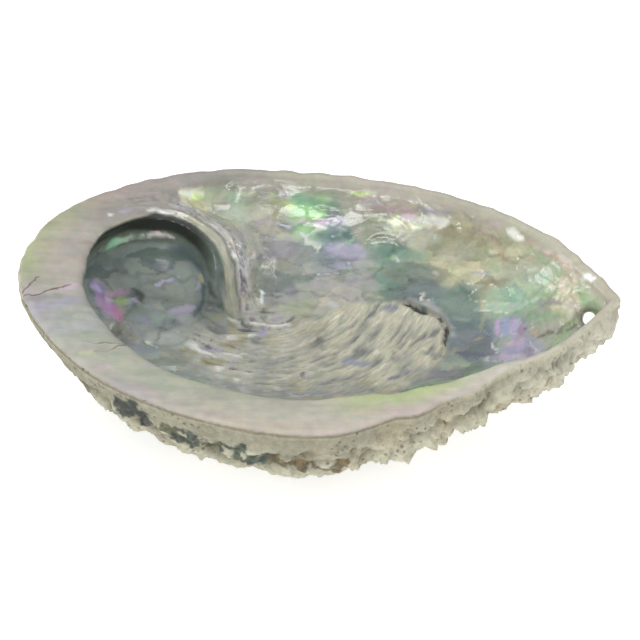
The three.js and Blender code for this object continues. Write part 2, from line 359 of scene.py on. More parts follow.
def scar_relief(at):
    """The raised muscle scar, with fibrous ridges swept in arcs."""
    along = at.sweep * at.strand
    lines = np.stack([along / 4.2, at.strand, at.z * 0.4], axis=1)
    lines = warped(lines, 1.6, 0.7, 131)
    fine = np.stack([along / 2.8, at.strand, at.z * 0.5], axis=1)
    fine = warped(fine, 1.0, 0.4, 137)
    ridges = 0.7 * noise(lines, 1.7, 141) + 1.1 * noise(fine, 1.0, 151)
    at.fibre = np.clip(0.5 + 0.42 * ridges, 0.0, 1.0)
    raised = 0.25 + 0.45 * ease(8.0, 20.0, at.x)
    return raised + 0.26 * ridges + 0.3 * noise(at.p, 6.0, 161)


def crumple_relief(at):
    """Broken folds between the scar and the hollow."""
    along = at.sweep * at.strand
    folds = creases(at.strand * 1.1, along / 3.0 + at.z * 0.2, at.z * 0.3, 163)
    knots = noise(at.p * RELIEF_STRETCH, 1.9, 167)
    at.fold = np.clip(0.75 * folds + 0.25 + 0.3 * knots, 0.0, 1.0)
    return 1.4 * (at.fold - 0.5)


def creases(across, along, height, seed):
    """Folds from 0 in the creases to 1 on their tops, drawn out along one way."""
    lines = np.stack([along, across, height], axis=1)
    lines = warped(lines, 2.5, 0.9, seed)
    return np.abs(noise(lines, 1.7, seed + 7)) ** 0.6


def ridge_relief(at):
    """Wrinkles along the crest and the flank between the hollow and the bowl."""
    turn = np.radians(at.mouth_turn) * 20.0
    folds = creases(at.from_mouth * 1.9, turn / 2.8, at.z * 0.3, 171)
    loose = creases(at.x * 1.5 + at.z * 0.5, at.y * 1.1, at.z * 1.1, 185)
    wander = 1.1 * noise(at.p * np.array([0.6, 0.6, 0.6]), 4.0, 187)
    lines = 0.5 + 0.5 * np.sin(at.from_mouth * 4.1 + wander * 2.0)
    flank = ease(20.6, 22.6, at.from_mouth)
    lined = ease(46.0, 72.0, at.mouth_turn)
    lines = mix(0.5 + 0.2 * noise(at.p, 3.0, 189), lines, lined)
    at.wrinkle = mix(lines, mix(folds, loose, 0.35), flank)
    amount = mix(0.30, 1.05, flank)
    return at.ridge * amount * (at.wrinkle - 0.4)


def lip_relief(at):
    """Low swells and fine lines along the flat lip."""
    drawn = at.p * np.array([0.3, 1.0, 1.0])
    return 0.28 * noise(at.p, 12.0, 191) + 0.10 * noise(drawn, 2.6, 181) + 0.05 * noise(at.p, 2.0, 195)


def hollow_relief(at):
    """The shelf that runs round inside the coiled hollow, and soft folds below it."""
    shelf = bell(at.z, 24.6, 0.9) * ease(70.0, 95.0, at.mouth_turn)
    folds = noise(at.p * np.array([0.45, 1.0, 1.0]), 3.4, 197)
    return 0.9 * shelf + 0.24 * folds + 0.05 * noise(at.p, 2.0, 199)


# How far below the rim the crust stays smooth, by direction from the crown in degrees.
SMOOTH_BAND_TURNS = (-180.0, -150.0, -120.0, -90.0, -60.0, -35.0, 0.0, 40.0, 180.0)
SMOOTH_BAND = (2.0, 2.6, 4.4, 4.4, 3.0, 1.4, 0.6, 1.0, 2.0)
# Depth of the dark gap along the scar's far edge, the height of the shell beyond it, how wavy the
# brim is, and how far the crust stays back from the surface that the shell rests on.
CREVICE_DEPTH = 1.3
FAR_STEP = 0.7
BRIM_WAVE = 0.35
UNDER_SINK = 2.4


def carve(ob, rim_ring):
    """Moves the fine mesh's points out and in by the relief of each part."""
    points, normal = read_points(ob)
    at = locate(points, rim_ring)
    degrees = np.degrees(at.angle)
    rough_side = np.where(degrees < 0.0, ease(-166.0, -138.0, degrees),
                          ease(178.0, 150.0, degrees))
    start = np.interp(degrees, SMOOTH_BAND_TURNS, SMOOTH_BAND)
    step = ease(start, 1.6 * start + 3.4, at.below)
    sink = ease(9.0, 0.5, at.z)
    crust = crust_relief(at) * (0.10 + 0.90 * step) * (0.25 + 0.75 * rough_side)
    crust -= UNDER_SINK * sink + 1.3 * (1.0 - rough_side) * step
    crust += pore_relief(at) * ease(1.0, 4.0, at.below)
    brim = BRIM_WAVE * noise(points, 4.0, 201) * ease(3.0, 0.0, at.inward)
    at.height = crust
    calm = (1.0 - at.ridge) * (1.0 - at.crumple)
    inner = at.bowl * calm * plate_relief(at) + at.scar * scar_relief(at)
    inner += at.crumple * (1.0 - 0.7 * at.scar) * crumple_relief(at)
    inner += at.lip * lip_relief(at) + ridge_relief(at) + at.hollow * hollow_relief(at)
    edge = ease(18.0, 24.0, at.x) * ease(3.0, 8.0, at.y)
    torn = 0.010 * noise(points, 1.2, 205)
    at.crevice = bell(at.scar_edge - 0.985 + torn, 0.0, 0.020) * edge * at.inside
    inner -= CREVICE_DEPTH * at.crevice
    step_up = ease(1.0, 1.03, at.scar_edge) * ease(1.22, 1.08, at.scar_edge)
    inner += FAR_STEP * step_up * edge
    move = at.outside * crust + at.inside * inner + brim
    points = points + normal * (move * (1.0 - at.bore))[:, None]
    points[:, 2] = np.maximum(points[:, 2], 0.0)
    write_points(ob, points)
    return at


# ---- Paint ----

# Hues of the pearl in each part of the bowl: the middle of the part, and four hues.
PEARL_PARTS = [
    ((-34, 45), ((176, 172, 156), (182, 184, 150), (170, 166, 158), (186, 180, 166))),
    ((-22, 45), ((160, 172, 156), (170, 168, 156), (176, 178, 150), (158, 160, 156))),
    ((-12, 44), ((166, 164, 156), (172, 178, 146), (156, 160, 160), (164, 156, 164))),
    ((-3, 44), ((150, 176, 150), (164, 192, 150), (150, 172, 160), (176, 188, 170))),
    ((4, 38), ((116, 140, 134), (154, 150, 170), (124, 146, 136), (148, 146, 160))),
    ((10, 43), ((162, 166, 150), (170, 176, 154), (172, 160, 166), (156, 164, 154))),
    ((24, 40), ((176, 170, 164), (190, 188, 168), (180, 182, 162), (172, 158, 164))),
    ((20, 33), ((112, 136, 124), (126, 148, 132), (104, 130, 126), (146, 152, 138))),
    ((35, 30), ((180, 178, 156), (176, 176, 152), (168, 172, 146), (184, 174, 160))),
    ((40, 36), ((176, 172, 164), (184, 176, 160), (172, 174, 150), (180, 168, 166))),
    ((50, 26), ((174, 180, 158), (190, 174, 158), (170, 178, 154), (186, 186, 164))),
    ((49, 17), ((154, 180, 158), (166, 176, 154), (156, 172, 162), (172, 184, 160))),
    ((48, 8), ((162, 156, 178), (156, 164, 176), (164, 172, 160), (168, 158, 170))),
    ((60, 9), ((150, 172, 140), (174, 174, 154), (182, 174, 160), (164, 168, 162))),
    ((34, 17), ((98, 114, 116), (104, 124, 112), (94, 106, 118), (110, 130, 118))),
    ((28, 24), ((100, 114, 118), (92, 108, 112), (116, 124, 124), (102, 120, 116))),
    ((37, 7), ((104, 116, 122), (100, 108, 122), (110, 124, 118), (122, 132, 130))),
    ((32, -4), ((134, 150, 134), (140, 138, 150), (130, 144, 130), (146, 154, 136))),
    ((6, 30), ((164, 160, 162), (146, 148, 150), (152, 158, 144), (170, 166, 158))),
    ((-8, 33), ((142, 150, 144), (152, 150, 152), (138, 140, 142), (158, 162, 150))),
    ((-14, 20), ((162, 160, 150), (150, 148, 152), (160, 162, 146), (144, 142, 140))),
    ((-12, 38), ((152, 154, 150), (164, 162, 158), (148, 146, 150), (160, 158, 150))),
    ((-28, 14), ((158, 160, 148), (146, 150, 142), (168, 168, 158), (150, 148, 124))),
    ((-38, 8), ((152, 158, 154), (164, 166, 160), (142, 150, 150), (156, 158, 146))),
    ((-22, 4), ((150, 152, 146), (138, 142, 142), (164, 164, 154), (144, 144, 136))),
    ((-30, -10), ((146, 154, 146), (138, 146, 144), (158, 162, 152), (150, 152, 146))),
    ((0, -22), ((150, 158, 148), (146, 152, 156), (162, 162, 148), (154, 156, 150))),
    ((24, -18), ((148, 158, 144), (156, 160, 148), (150, 150, 158), (160, 162, 146))),
]
HOLLOW_HUES = ((124, 138, 132), (112, 126, 116), (134, 146, 144), (126, 136, 142))
PEARL_GREY = srgb(196, 198, 190)
# Dabs narrower than this have crisp edges, and lighter ones than this, mostly painted highlights,
# aren't softened.
CRISP_WIDTH = 0.7
BRIGHT_HUE = 200
# The plates are longer along the shell. Sizes of those in the bowl and in the hollow, how wide
# the parts run into each other, and how much purer the hues are than the tables say.
PAINT_STRETCH = np.array([0.50, 1.0, 1.15])
PLATE_SIZE = 5.2
SHARD_SIZE = 4.0
PART_BLEND = 1.3
PEARL_CHROMA = 1.45

# Hues along the flat lip by direction from the crown in degrees: outer and inner edge.
LIP_HUES = [
    (-180, (172, 162, 170), (164, 166, 158)), (-172, (164, 164, 172), (158, 166, 160)),
    (-162, (166, 170, 158), (162, 168, 158)), (-150, (170, 170, 156), (172, 174, 158)),
    (-138, (170, 162, 168), (166, 172, 152)), (-120, (182, 172, 162), (172, 176, 156)),
    (-100, (184, 174, 158), (180, 178, 160)), (-80, (186, 174, 162), (180, 178, 162)),
    (-60, (192, 176, 170), (186, 200, 142)), (-42, (202, 190, 184), (188, 206, 140)),
    (-25, (202, 200, 186), (198, 204, 172)), (0, (190, 184, 164), (184, 176, 160)),
    (30, (184, 184, 160), (186, 174, 162)), (60, (178, 168, 158), (174, 172, 152)),
    (90, (168, 166, 144), (152, 146, 142)), (115, (146, 141, 137), (142, 138, 131)),
    (135, (160, 142, 140), (146, 140, 136)), (150, (160, 164, 128), (154, 148, 140)),
    (168, (170, 180, 130), (176, 168, 158)), (180, (172, 162, 170), (164, 166, 158)),
]

# Dabs and streaks of colour in the pearl, some of them painted highlights and painted shadows:
# x, y, z of the start and of the end, half width, hue, and strength.
DABS = [
    # along the far wall, from the spire end
    (11.6, 43.4, 27.6, 15, 43.2, 28.6, 1.8, (170, 164, 160), 0.95),
    # painted highlights in the next two dabs: white and lime streaks near the far rim at the spire end
    (-35.5, 43.6, 30.9, -29.8, 45.6, 29.4, 1.3, (242, 244, 226), 0.95),
    (-33, 44.3, 29.5, -30.2, 45.4, 28.6, 0.9, (206, 240, 134), 0.9),
    (-23.5, 46, 28, -18, 46.1, 26.5, 1.8, (158, 186, 158), 0.6),
    (-14.5, 46, 27.5, -9.5, 46, 25.5, 1.8, (176, 186, 134), 0.6),
    (-6.5, 46.2, 27.6, 0.5, 46, 27.2, 1.5, (126, 178, 150), 0.8),
    # painted highlights in the next six dabs: bright lime, mint and white bands on the far wall
    (-5.5, 45.6, 25.4, 1, 45.6, 26, 1.1, (150, 228, 140), 0.9),
    (-6, 44.6, 23.4, 1, 44.2, 24.2, 1.2, (165, 236, 150), 0.9),
    (-8.5, 46.1, 25.8, -7, 45.6, 24.6, 0.9, (216, 244, 142), 0.95),
    (-4, 46.2, 26.6, -2.4, 46.2, 26.3, 0.6, (206, 240, 150), 0.9),
    (-1.6, 44, 23.6, 0.6, 44, 23.8, 0.6, (196, 246, 160), 0.9),
    (0.8, 45.8, 26.8, 1.8, 44.9, 25, 0.8, (208, 236, 236), 0.8),
    # painted highlights in the next two dabs: a magenta-white line and a pale lavender streak
    (-5.8, 42.7, 21.8, 1.8, 42.9, 22.3, 0.55, (238, 186, 242), 0.95),
    (1.8, 42.9, 22.3, 10.5, 42.9, 25.4, 0.5, (216, 206, 224), 0.8),
    # painted shadow in the next dab: dark blue-grey beside the magenta line
    (-9.8, 43.2, 20.8, -6.2, 42.4, 20, 1.3, (96, 110, 122), 0.75),
    # painted glint in the next dab: a white speck
    (-4.4, 41.6, 20, -3.4, 41.2, 19.2, 0.6, (226, 234, 234), 0.9),
    (0.5, 40.6, 19.8, 8, 39.8, 20, 2.1, (64, 108, 102), 0.85),
    (7, 38.6, 18.6, 9.5, 39.2, 19.6, 0.5, (150, 198, 165), 0.8),
    (2.5, 37.8, 17.2, 11, 36.6, 17, 2.1, (184, 177, 206), 0.85),
    (-7.5, 37.5, 15.8, -0.5, 37, 15.8, 1.8, (136, 138, 142), 0.6),
    (12, 36.4, 18, 17, 35.6, 18, 1.7, (102, 144, 132), 0.75),
    (14.5, 34, 16.4, 20.5, 33, 16, 1.5, (118, 152, 134), 0.7),
    (20, 35.5, 18.6, 25, 33.8, 18.6, 1.5, (110, 148, 128), 0.75),
    (21.5, 31.4, 15.8, 30.5, 29.4, 16.8, 2.4, (92, 122, 106), 0.8),
    (18.6, 34.4, 17.3, 19.6, 34.2, 17.4, 0.9, (162, 198, 162), 0.8),
    (13, 37.8, 19.6, 14.4, 37.4, 19.4, 0.8, (164, 194, 168), 0.8),
    (26, 33.4, 18.9, 27.4, 33, 19, 0.9, (142, 182, 152), 0.7),
    (18.5, 38.2, 21.6, 29.5, 35.8, 22.2, 1.9, (177, 182, 161), 0.85),
    (11.5, 43.2, 26.6, 25.5, 40.4, 28.4, 1, (184, 152, 163), 0.85),
    (25.5, 40.4, 28.4, 34, 37.8, 29.6, 1, (163, 159, 176), 0.8),
    # painted highlight in the next dab: a thin lime streak under the rim
    (7.5, 45, 30.6, 13.5, 44.4, 30.6, 0.6, (198, 234, 134), 0.9),
    # painted highlights in the next five dabs: white, lime and pink-white glints on the far wall
    (17.5, 40.3, 24.3, 21.5, 39.9, 25, 1.2, (236, 246, 204), 0.95),
    (21.8, 40.2, 26, 24, 39.9, 26.3, 1, (238, 212, 234), 0.9),
    (25.5, 38.9, 26.4, 33, 37, 27.2, 1.4, (234, 233, 224), 0.9),
    (22.5, 38.9, 24.2, 28, 37.8, 24.9, 0.8, (228, 240, 204), 0.9),
    (17.8, 39, 22, 18.4, 38.9, 22, 0.5, (212, 226, 182), 0.9),
    (31.5, 32.6, 19.8, 38.5, 31, 21.8, 2.9, (168, 167, 145), 0.8),
    # painted highlight in the next dab: a pink glint
    (29.2, 29.4, 16.6, 30.4, 28.9, 16.7, 0.9, (208, 187, 174), 0.7),
    (41, 29.5, 22.6, 45, 28, 23.8, 1.9, (166, 174, 142), 0.6),
    (44.2, 28.4, 24.2, 45, 28, 24.4, 0.8, (208, 216, 184), 0.85),
    (37.5, 27, 18.4, 46, 24.4, 20.2, 0.5, (156, 158, 186), 0.75),
    (46.5, 24.5, 21.2, 56, 18.5, 24.6, 3.2, (167, 180, 157), 0.65),
    (50, 29, 29.6, 64, 13.5, 30.6, 0.8, (200, 168, 148), 0.75),
    (50, 27.6, 27.6, 62.5, 14, 28.2, 0.7, (178, 188, 130), 0.7),
    (50.5, 26.4, 26, 60, 16, 26, 0.8, (202, 172, 160), 0.6),
    (43, 33, 29.6, 48, 30.6, 30.6, 1, (206, 186, 186), 0.6),
    # painted highlights in the next three dabs: white glints near the far rim and at the growing end,
    # with a lime fringe
    (47.6, 29.4, 30.2, 51.4, 27, 30, 1, (250, 250, 240), 0.98),
    (64, 10.7, 30.6, 68.5, 8.1, 32.2, 1, (253, 253, 250), 1),
    (64, 10.1, 29.4, 66, 9.2, 30, 0.45, (202, 226, 120), 0.8),
    # painted shadow in the next dab: dark grey beside the white glint at the growing end
    (60.6, 12.8, 28.6, 63.4, 11.4, 29.4, 0.7, (118, 113, 117), 0.75),
    # towards the growing end
    (44, 20.6, 17.6, 52, 16, 19.2, 2.1, (148, 184, 158), 0.75),
    (48, 18.9, 18.8, 49.2, 18.3, 19, 0.8, (194, 228, 194), 0.8),
    (45.6, 16.2, 16.2, 46.6, 15.8, 16.4, 0.8, (170, 216, 176), 0.7),
    (55.5, 12.4, 20.4, 60, 9.6, 22.6, 1.1, (122, 118, 130), 0.75),
    (60.5, 10.8, 24.2, 64.5, 7.6, 26.4, 1.1, (197, 183, 152), 0.6),
    (61, 8.4, 23.4, 65, 5.6, 25.2, 0.8, (178, 170, 192), 0.55),
    (52.5, 10.6, 17.4, 62, 5, 21.4, 1.3, (134, 174, 128), 0.75),
    (45, 12.4, 14.4, 44.6, 8.2, 13.2, 0.9, (208, 172, 216), 0.85),
    (46.8, 11.8, 14.9, 47.2, 8.2, 14.1, 1.3, (148, 163, 208), 0.85),
    (49, 11.4, 15.5, 49, 6.6, 14.6, 1.2, (186, 166, 212), 0.8),
    (50.6, 9, 15.9, 51, 6.6, 15.4, 1, (174, 112, 168), 0.85),
    (51.7, 7.6, 16.1, 52.4, 7.2, 16.4, 0.8, (112, 58, 94), 0.9),
    (47.5, 5.4, 13.7, 53.5, 4.4, 15.7, 0.8, (216, 180, 202), 0.75),
    (53, 6, 16.2, 55, 5.2, 17, 0.5, (207, 166, 140), 0.6),
    (55, 4, 16.8, 59.5, 3.3, 19, 0.55, (92, 78, 66), 0.8),
    (59.5, 3.3, 19, 64.2, 2.4, 22.2, 0.7, (92, 78, 66), 0.85),
    (41.6, 19, 15.6, 41, 12.5, 13, 0.8, (190, 176, 122), 0.6),
    (41.5, 8.8, 12.2, 33.5, 5.6, 9.4, 0.6, (187, 163, 106), 0.6),
    (33.5, 10, 10.3, 40.5, 10.5, 12.4, 1.9, (106, 118, 128), 0.85),
    (35, 7, 10, 38.5, 8.4, 11.2, 1.2, (110, 116, 134), 0.7),
    (31.5, 21, 12.8, 39.5, 17.5, 14, 2.6, (118, 142, 128), 0.7),
    (34, 16.5, 12.4, 37, 15.6, 12.8, 1, (146, 172, 146), 0.6),
    (24, 27, 13.6, 33, 24.6, 14.2, 1.7, (114, 129, 133), 0.7),
    (23, 28.8, 14.5, 27, 27.2, 14.2, 0.45, (58, 66, 76), 0.85),
    # round the scar
    (-4.5, 30.6, 11.6, 12, 29.8, 12.6, 0.9, (172, 164, 170), 0.6),
    (-12, 27.2, 10.4, -4, 28.6, 10.7, 0.45, (90, 96, 106), 0.75),
    (-4, 28.6, 10.7, 4, 27.6, 11, 0.45, (90, 96, 106), 0.7),
    (-7.5, 31.8, 12, -1.5, 32, 12.2, 1.1, (92, 122, 108), 0.75),
    (-8.5, 24, 8.6, -1.5, 25.6, 9.2, 2.2, (164, 175, 138), 0.85),
    (5.5, 28, 11, 9, 27.2, 11, 1.1, (170, 165, 160), 0.6),
    (12.5, 26.5, 11.2, 16, 25.6, 11.2, 0.8, (190, 188, 140), 0.8),
    (3.5, 27, 10.7, 10, 26, 10.6, 0.4, (92, 95, 102), 0.75),
    # painted highlight in the next dab: a white-grey glint
    (3, 24.9, 9.5, 4.4, 24.5, 9.5, 0.8, (212, 214, 208), 0.75),
    (20.5, 24, 12, 27, 22.2, 12.2, 0.9, (168, 166, 166), 0.75),
    (27, 22.2, 12.2, 32.4, 17, 12, 0.9, (170, 167, 168), 0.8),
    (32.4, 17, 12, 34.8, 10, 10.6, 0.8, (166, 164, 162), 0.75),
    (16, 22.4, 10.2, 19.8, 22, 10.6, 1.2, (126, 130, 152), 0.85),
    (6.5, 8, 5.7, 13, 5.8, 5.8, 1.45, (134, 140, 165), 0.9),
    (27.2, 7, 8.2, 30.6, 5.4, 8.6, 1.2, (118, 120, 124), 0.8),
    (18, -0.6, 6.2, 22.5, 1.6, 6.6, 0.8, (104, 110, 140), 0.85),
    (0.3, 15.4, 6.3, 0.6, 11.5, 5.6, 0.8, (94, 102, 104), 0.7),
    (-1, 13.4, 6, 2.4, 14.6, 6.2, 0.5, (98, 104, 110), 0.6),
    (19.2, 9, 7, 18.6, 6.6, 6.6, 0.7, (96, 100, 102), 0.75),
    (-4, 4.6, 4.7, -3.4, 2.4, 4.6, 0.6, (78, 82, 90), 0.75),
    (-2.4, 3.8, 4.7, -1.6, 3.4, 4.7, 0.5, (208, 210, 208), 0.75),
    (-24.5, -1.6, 5.6, -14, -3, 5, 0.8, (130, 134, 150), 0.75),
    (-12, -3.6, 4.8, 4, -5, 4.7, 0.8, (138, 140, 156), 0.75),
    (-8, -4.4, 4.7, -3, -4.8, 4.7, 0.4, (190, 192, 200), 0.7),
    (10, -4.6, 5, 16, -4.2, 5.4, 0.6, (126, 128, 150), 0.75),
    # between the scar and the hollow
    (-28, 9.6, 6.2, -20.5, 8.4, 5.7, 0.6, (200, 200, 192), 0.7),
    (-26, 7.6, 5.8, -17, 6.4, 5.4, 0.5, (186, 186, 182), 0.6),
    (-34.6, 10.8, 6.9, -31.6, 9.2, 6.5, 1.1, (140, 134, 70), 0.85),
    (-25.4, 12.6, 6.4, -19, 13.6, 6.3, 0.8, (152, 142, 86), 0.85),
    (-14.6, 17, 7.1, -13.4, 16.6, 7, 1, (168, 158, 202), 0.85),
    (-17, 20.9, 8.6, -15.6, 20.7, 8.6, 0.8, (126, 96, 128), 0.8),
    (-13.5, 21.9, 8.4, -12.9, 21.3, 8.2, 0.7, (44, 46, 52), 0.9),
    # painted highlight in the next dab: a white glint
    (-15.2, 27.4, 12.8, -14.4, 24.8, 10, 0.5, (244, 246, 248), 0.95),
    (-13.2, 26.2, 11, -12.8, 24.4, 9.7, 0.45, (52, 54, 60), 0.9),
    (-43, 14.8, 6.9, -35, 14, 6.9, 1.9, (180, 184, 176), 0.85),
    (-49.5, 13, 8, -44, 10.6, 7.2, 1.5, (152, 158, 176), 0.75),
    (-34.6, 18, 7.9, -29, 17.4, 7.8, 1.4, (167, 167, 160), 0.7),
    (-49, 17.6, 9, -44, 15, 7.4, 1.2, (140, 145, 165), 0.6),
    (-28, 20, 9, -24, 21, 9, 1.1, (152, 150, 112), 0.6),
    # in the hollow
    # painted highlights in the next three dabs: the mint and pinkish-white band along the hollow's
    # inner shelf
    (-54.6, 29.2, 24.2, -50.6, 31.8, 25.4, 1.1, (152, 214, 174), 0.9),
    (-50.6, 31.8, 25.4, -45, 33.8, 25.6, 0.8, (188, 222, 196), 0.85),
    (-45, 33.8, 25.6, -37, 33.6, 25.2, 0.6, (216, 206, 204), 0.8),
    # painted shadow in the next dab: olive under that band
    (-51, 31.2, 23.4, -40, 33.4, 23, 0.7, (98, 102, 70), 0.65),
    (-37.5, 32.8, 21.4, -32, 30.4, 21.8, 2.2, (58, 82, 84), 0.8),
    (-34.5, 31.4, 19.5, -30.6, 28.8, 17.4, 0.8, (160, 147, 142), 0.75),
    (-30.6, 28.8, 17.4, -28.8, 25.6, 16.2, 0.8, (150, 142, 130), 0.75),
    (-30, 26.6, 17.3, -29.4, 26, 17.3, 0.9, (198, 192, 142), 0.9),
    # painted shadow in the next two dabs: dark green beside the fold
    (-27.5, 24.6, 17, -26.5, 22.4, 14, 1, (38, 52, 34), 0.85),
    (-28.4, 22.6, 12.6, -27.4, 21.8, 12.4, 0.8, (50, 60, 30), 0.8),
    # painted highlight in the next dab: a lavender glint
    (-41.6, 28, 13.6, -36.4, 28.9, 14.9, 0.65, (208, 202, 234), 0.95),
    (-54.3, 26.6, 18.5, -49.5, 24.4, 13.4, 0.35, (194, 204, 198), 0.8),
    (-55.4, 26, 18, -52, 25, 14.6, 0.6, (66, 86, 76), 0.6),
    (-57.4, 23.4, 17, -54.4, 23.6, 15.4, 1.9, (150, 126, 200), 0.95),
    (-55.6, 21, 14.4, -51.4, 19.6, 11.2, 2.2, (206, 148, 212), 0.95),
    (-51.6, 20.2, 11.5, -50, 19.4, 10.6, 1.3, (204, 128, 176), 0.9),
    (-53.4, 23.6, 14.6, -48.4, 25.6, 13.2, 1, (206, 164, 200), 0.9),
    (-52, 22.6, 12.8, -49, 23.6, 12, 1.2, (164, 196, 122), 0.95),
    (-50.6, 21.6, 11.6, -49.4, 21.2, 11, 1.2, (196, 176, 150), 0.8),
    (-54, 22.6, 14, -52.6, 22.2, 13.2, 0.9, (214, 196, 222), 0.85),
    (-46, 26.2, 12.6, -45, 24.4, 11.2, 0.9, (28, 38, 30), 0.95),
    (-47.4, 23.6, 10.9, -46.4, 22, 10, 0.8, (66, 92, 70), 0.7),
    (-37.4, 26, 12.4, -31, 24.6, 12.2, 2.4, (160, 170, 158), 0.85),
    (-48.6, 27, 15, -45, 28.2, 15.4, 1.4, (156, 168, 168), 0.7),
    (-43.4, 23.6, 10.2, -39.4, 23.4, 10, 1, (184, 190, 186), 0.75),
    (-46, 20.2, 9.4, -43, 19, 8.8, 1.2, (148, 150, 180), 0.7),
    (-36.4, 23, 10.2, -31, 22.6, 10.2, 0.9, (200, 188, 218), 0.9),
    (-42.5, 21, 8.9, -37.5, 20.8, 8.9, 1.5, (162, 180, 170), 0.8),
    (-36, 20.4, 8.6, -31.4, 20, 8.8, 1.3, (178, 182, 176), 0.8),
    # on the flat lip at the spire end
    (-66, 2.8, 33, -58.6, 6, 32.4, 0.9, (200, 176, 204), 0.65),
    (-70, -3.6, 33, -58, 0.6, 32.6, 2, (164, 160, 182), 0.6),
    (-68, -9, 33, -56.5, -4.6, 32.6, 0.8, (146, 150, 146), 0.45),
    (-65, -13.5, 33, -54, -8.6, 32.6, 1.5, (178, 172, 186), 0.45),
    (-62, -17, 33, -53.5, -13, 32.6, 0.9, (160, 174, 146), 0.45),
    (-53, -24, 33, -47, -21.6, 32.6, 1.8, (156, 178, 150), 0.5),
    (-58, -21.6, 33, -56, -20.8, 32.8, 1.2, (206, 204, 158), 0.6),
    (-56, -28, 33, -50, -27, 32.8, 1.2, (202, 178, 182), 0.5),
    (-42, -24, 32.8, -38, -24.6, 32.8, 1.4, (176, 164, 196), 0.45),
    (-30, -31, 32.8, -26, -31.6, 32.8, 1.6, (176, 192, 158), 0.5),
    (-12, -34, 32.8, 4, -35, 32.8, 1.8, (200, 180, 176), 0.4),
    # round the hollow's mouth
    # painted highlights in the next four dabs: white glints along the hollow's top edge and down the
    # ridge
    (-43.5, 35.8, 32.2, -37.5, 36.4, 31.6, 0.7, (246, 248, 248), 0.95),
    (-36.5, 36, 31, -33, 35.2, 30.4, 0.45, (236, 236, 222), 0.85),
    (-24.4, 30.4, 25.4, -20.4, 27.8, 21.6, 0.6, (242, 244, 242), 0.9),
    (-29.5, 34, 28.8, -25.4, 31.8, 26.4, 0.5, (234, 236, 230), 0.8),
    (-50, 34.6, 32.5, -47, 35.6, 32.4, 0.9, (176, 166, 202), 0.7),
    (-53, 33.2, 32.4, -52, 33.8, 32.4, 0.6, (226, 228, 226), 0.8),
    (-37, 38, 31, -30, 37.6, 29.8, 0.9, (136, 124, 136), 0.75),
]

# Stains and growths on the crust: place, radius, hue, strength.
CRUST_STAINS = [
    ((-46.4, -36.0, 26.6), 5.0, (38, 44, 42), 0.92),
    ((-42.0, -39.0, 25.4), 3.2, (44, 48, 44), 0.85),
    ((-36.0, -42.4, 24.6), 3.4, (60, 64, 46), 0.85),
    ((-31.6, -43.8, 23.4), 4.2, (44, 52, 46), 0.90),
    ((-26.0, -45.4, 22.4), 3.0, (70, 72, 50), 0.80),
    ((-18.6, -46.8, 20.6), 5.4, (44, 54, 46), 0.90),
    ((-21.6, -46.0, 19.4), 2.6, (92, 92, 40), 0.80),
    ((-13.4, -47.4, 20.8), 3.6, (60, 72, 66), 0.85),
    ((-9.5, -48.0, 20.8), 2.4, (84, 74, 50), 0.85),
    ((-5.0, -48.4, 20.8), 2.3, (78, 66, 42), 0.85),
    ((0.0, -48.4, 20.8), 2.2, (74, 60, 38), 0.85),
    ((4.6, -47.6, 20.2), 2.4, (84, 70, 44), 0.85),
    ((10.0, -46.8, 19.6), 2.0, (92, 80, 54), 0.75),
    ((30.0, 30.0, 10.0), 9.0, (70, 78, 62), 0.70),
    ((-30.0, 36.0, 9.0), 8.0, (60, 70, 58), 0.70),
    ((-50.0, 5.0, 6.0), 8.0, (120, 88, 74), 0.60),
    ((20.0, -10.0, 3.0), 10.0, (120, 104, 80), 0.50),
]


def hue_table(hues):
    return np.array([srgb(*hue) for hue in hues])


def tint(colour, hue, share):
    """A colour moved towards a hue, given in screen levels, by each point's share."""
    return mix(colour, srgb(*hue), share[:, None])


def patches(at, size, seed, low, high):
    """Soft-edged patches of this size, 0 outside and 1 within."""
    return ease(low, high, noise(at.p, size, seed))


def mosaic_layers(points, size, seed):
    """Random numbers of cells in two sizes, a slow drift, all from 0 to 1, and how near each
    point is to the seam round its larger cell."""
    bent = warped(warped(points, size, 0.5 * size, seed), 0.45 * size, 0.22 * size, seed + 9)
    near, nearer, _, large = cells(bent, size, seed + 3)
    _, _, _, small = cells(warped(points, size, 0.3 * size, seed + 20), 0.5 * size, seed + 23)
    drift = 0.5 + 0.5 * noise(points, 1.6 * size, seed + 40)
    seam = ease(0.16, 0.02, nearer - near)
    return large, small[:, 0], np.clip(drift, 0.0, 1.0), seam


def pick_hues(table, amounts, shares):
    """Hues from a table of four, for each share from 0 to 1, blended by these amounts."""
    total = 0.0
    for amount, share in zip(amounts, shares):
        total = total + amount * table[..., np.minimum((share * 4).astype(int), 3), :]
    return total


def crust_paint(at):
    """Chalky tops over brown, torn stains, and a pale edge with a brown line along the front."""
    colour = tint(srgb(98, 96, 76), (184, 181, 160), ease(-1.4, 2.0, at.height))
    colour = tint(colour, (178, 162, 132), 0.35 * patches(at, 9.0, 211, 0.1, 0.9))
    colour = tint(colour, (206, 203, 186), 0.6 * ease(40.0, 66.0, at.x))
    speckled = patches(at, 1.0, 225, -0.1, 0.4)[:, None]
    bent = warped(at.p, 3.0, 1.8, 221)
    torn = 0.45 * noise(at.p, 1.8, 231) + 0.35 * noise(at.p, 0.8, 233)
    for place, radius, hue, strength in CRUST_STAINS:
        away = length(bent - np.array(place)) / radius
        cover = strength * ease(1.0, 0.7, away + torn)
        stain = mix(srgb(*hue), 2.2 * srgb(*hue), speckled)
        colour = mix(colour, stain, cover[:, None])
    colour = tint(colour, (196, 190, 166), 0.75 * ease(2.2, 0.6, at.below))
    front = ease(-0.6, -1.0, at.angle)
    band = bell(at.below, 0.9, 0.45) * 0.85 * front
    return tint(colour, (108, 102, 84), band)


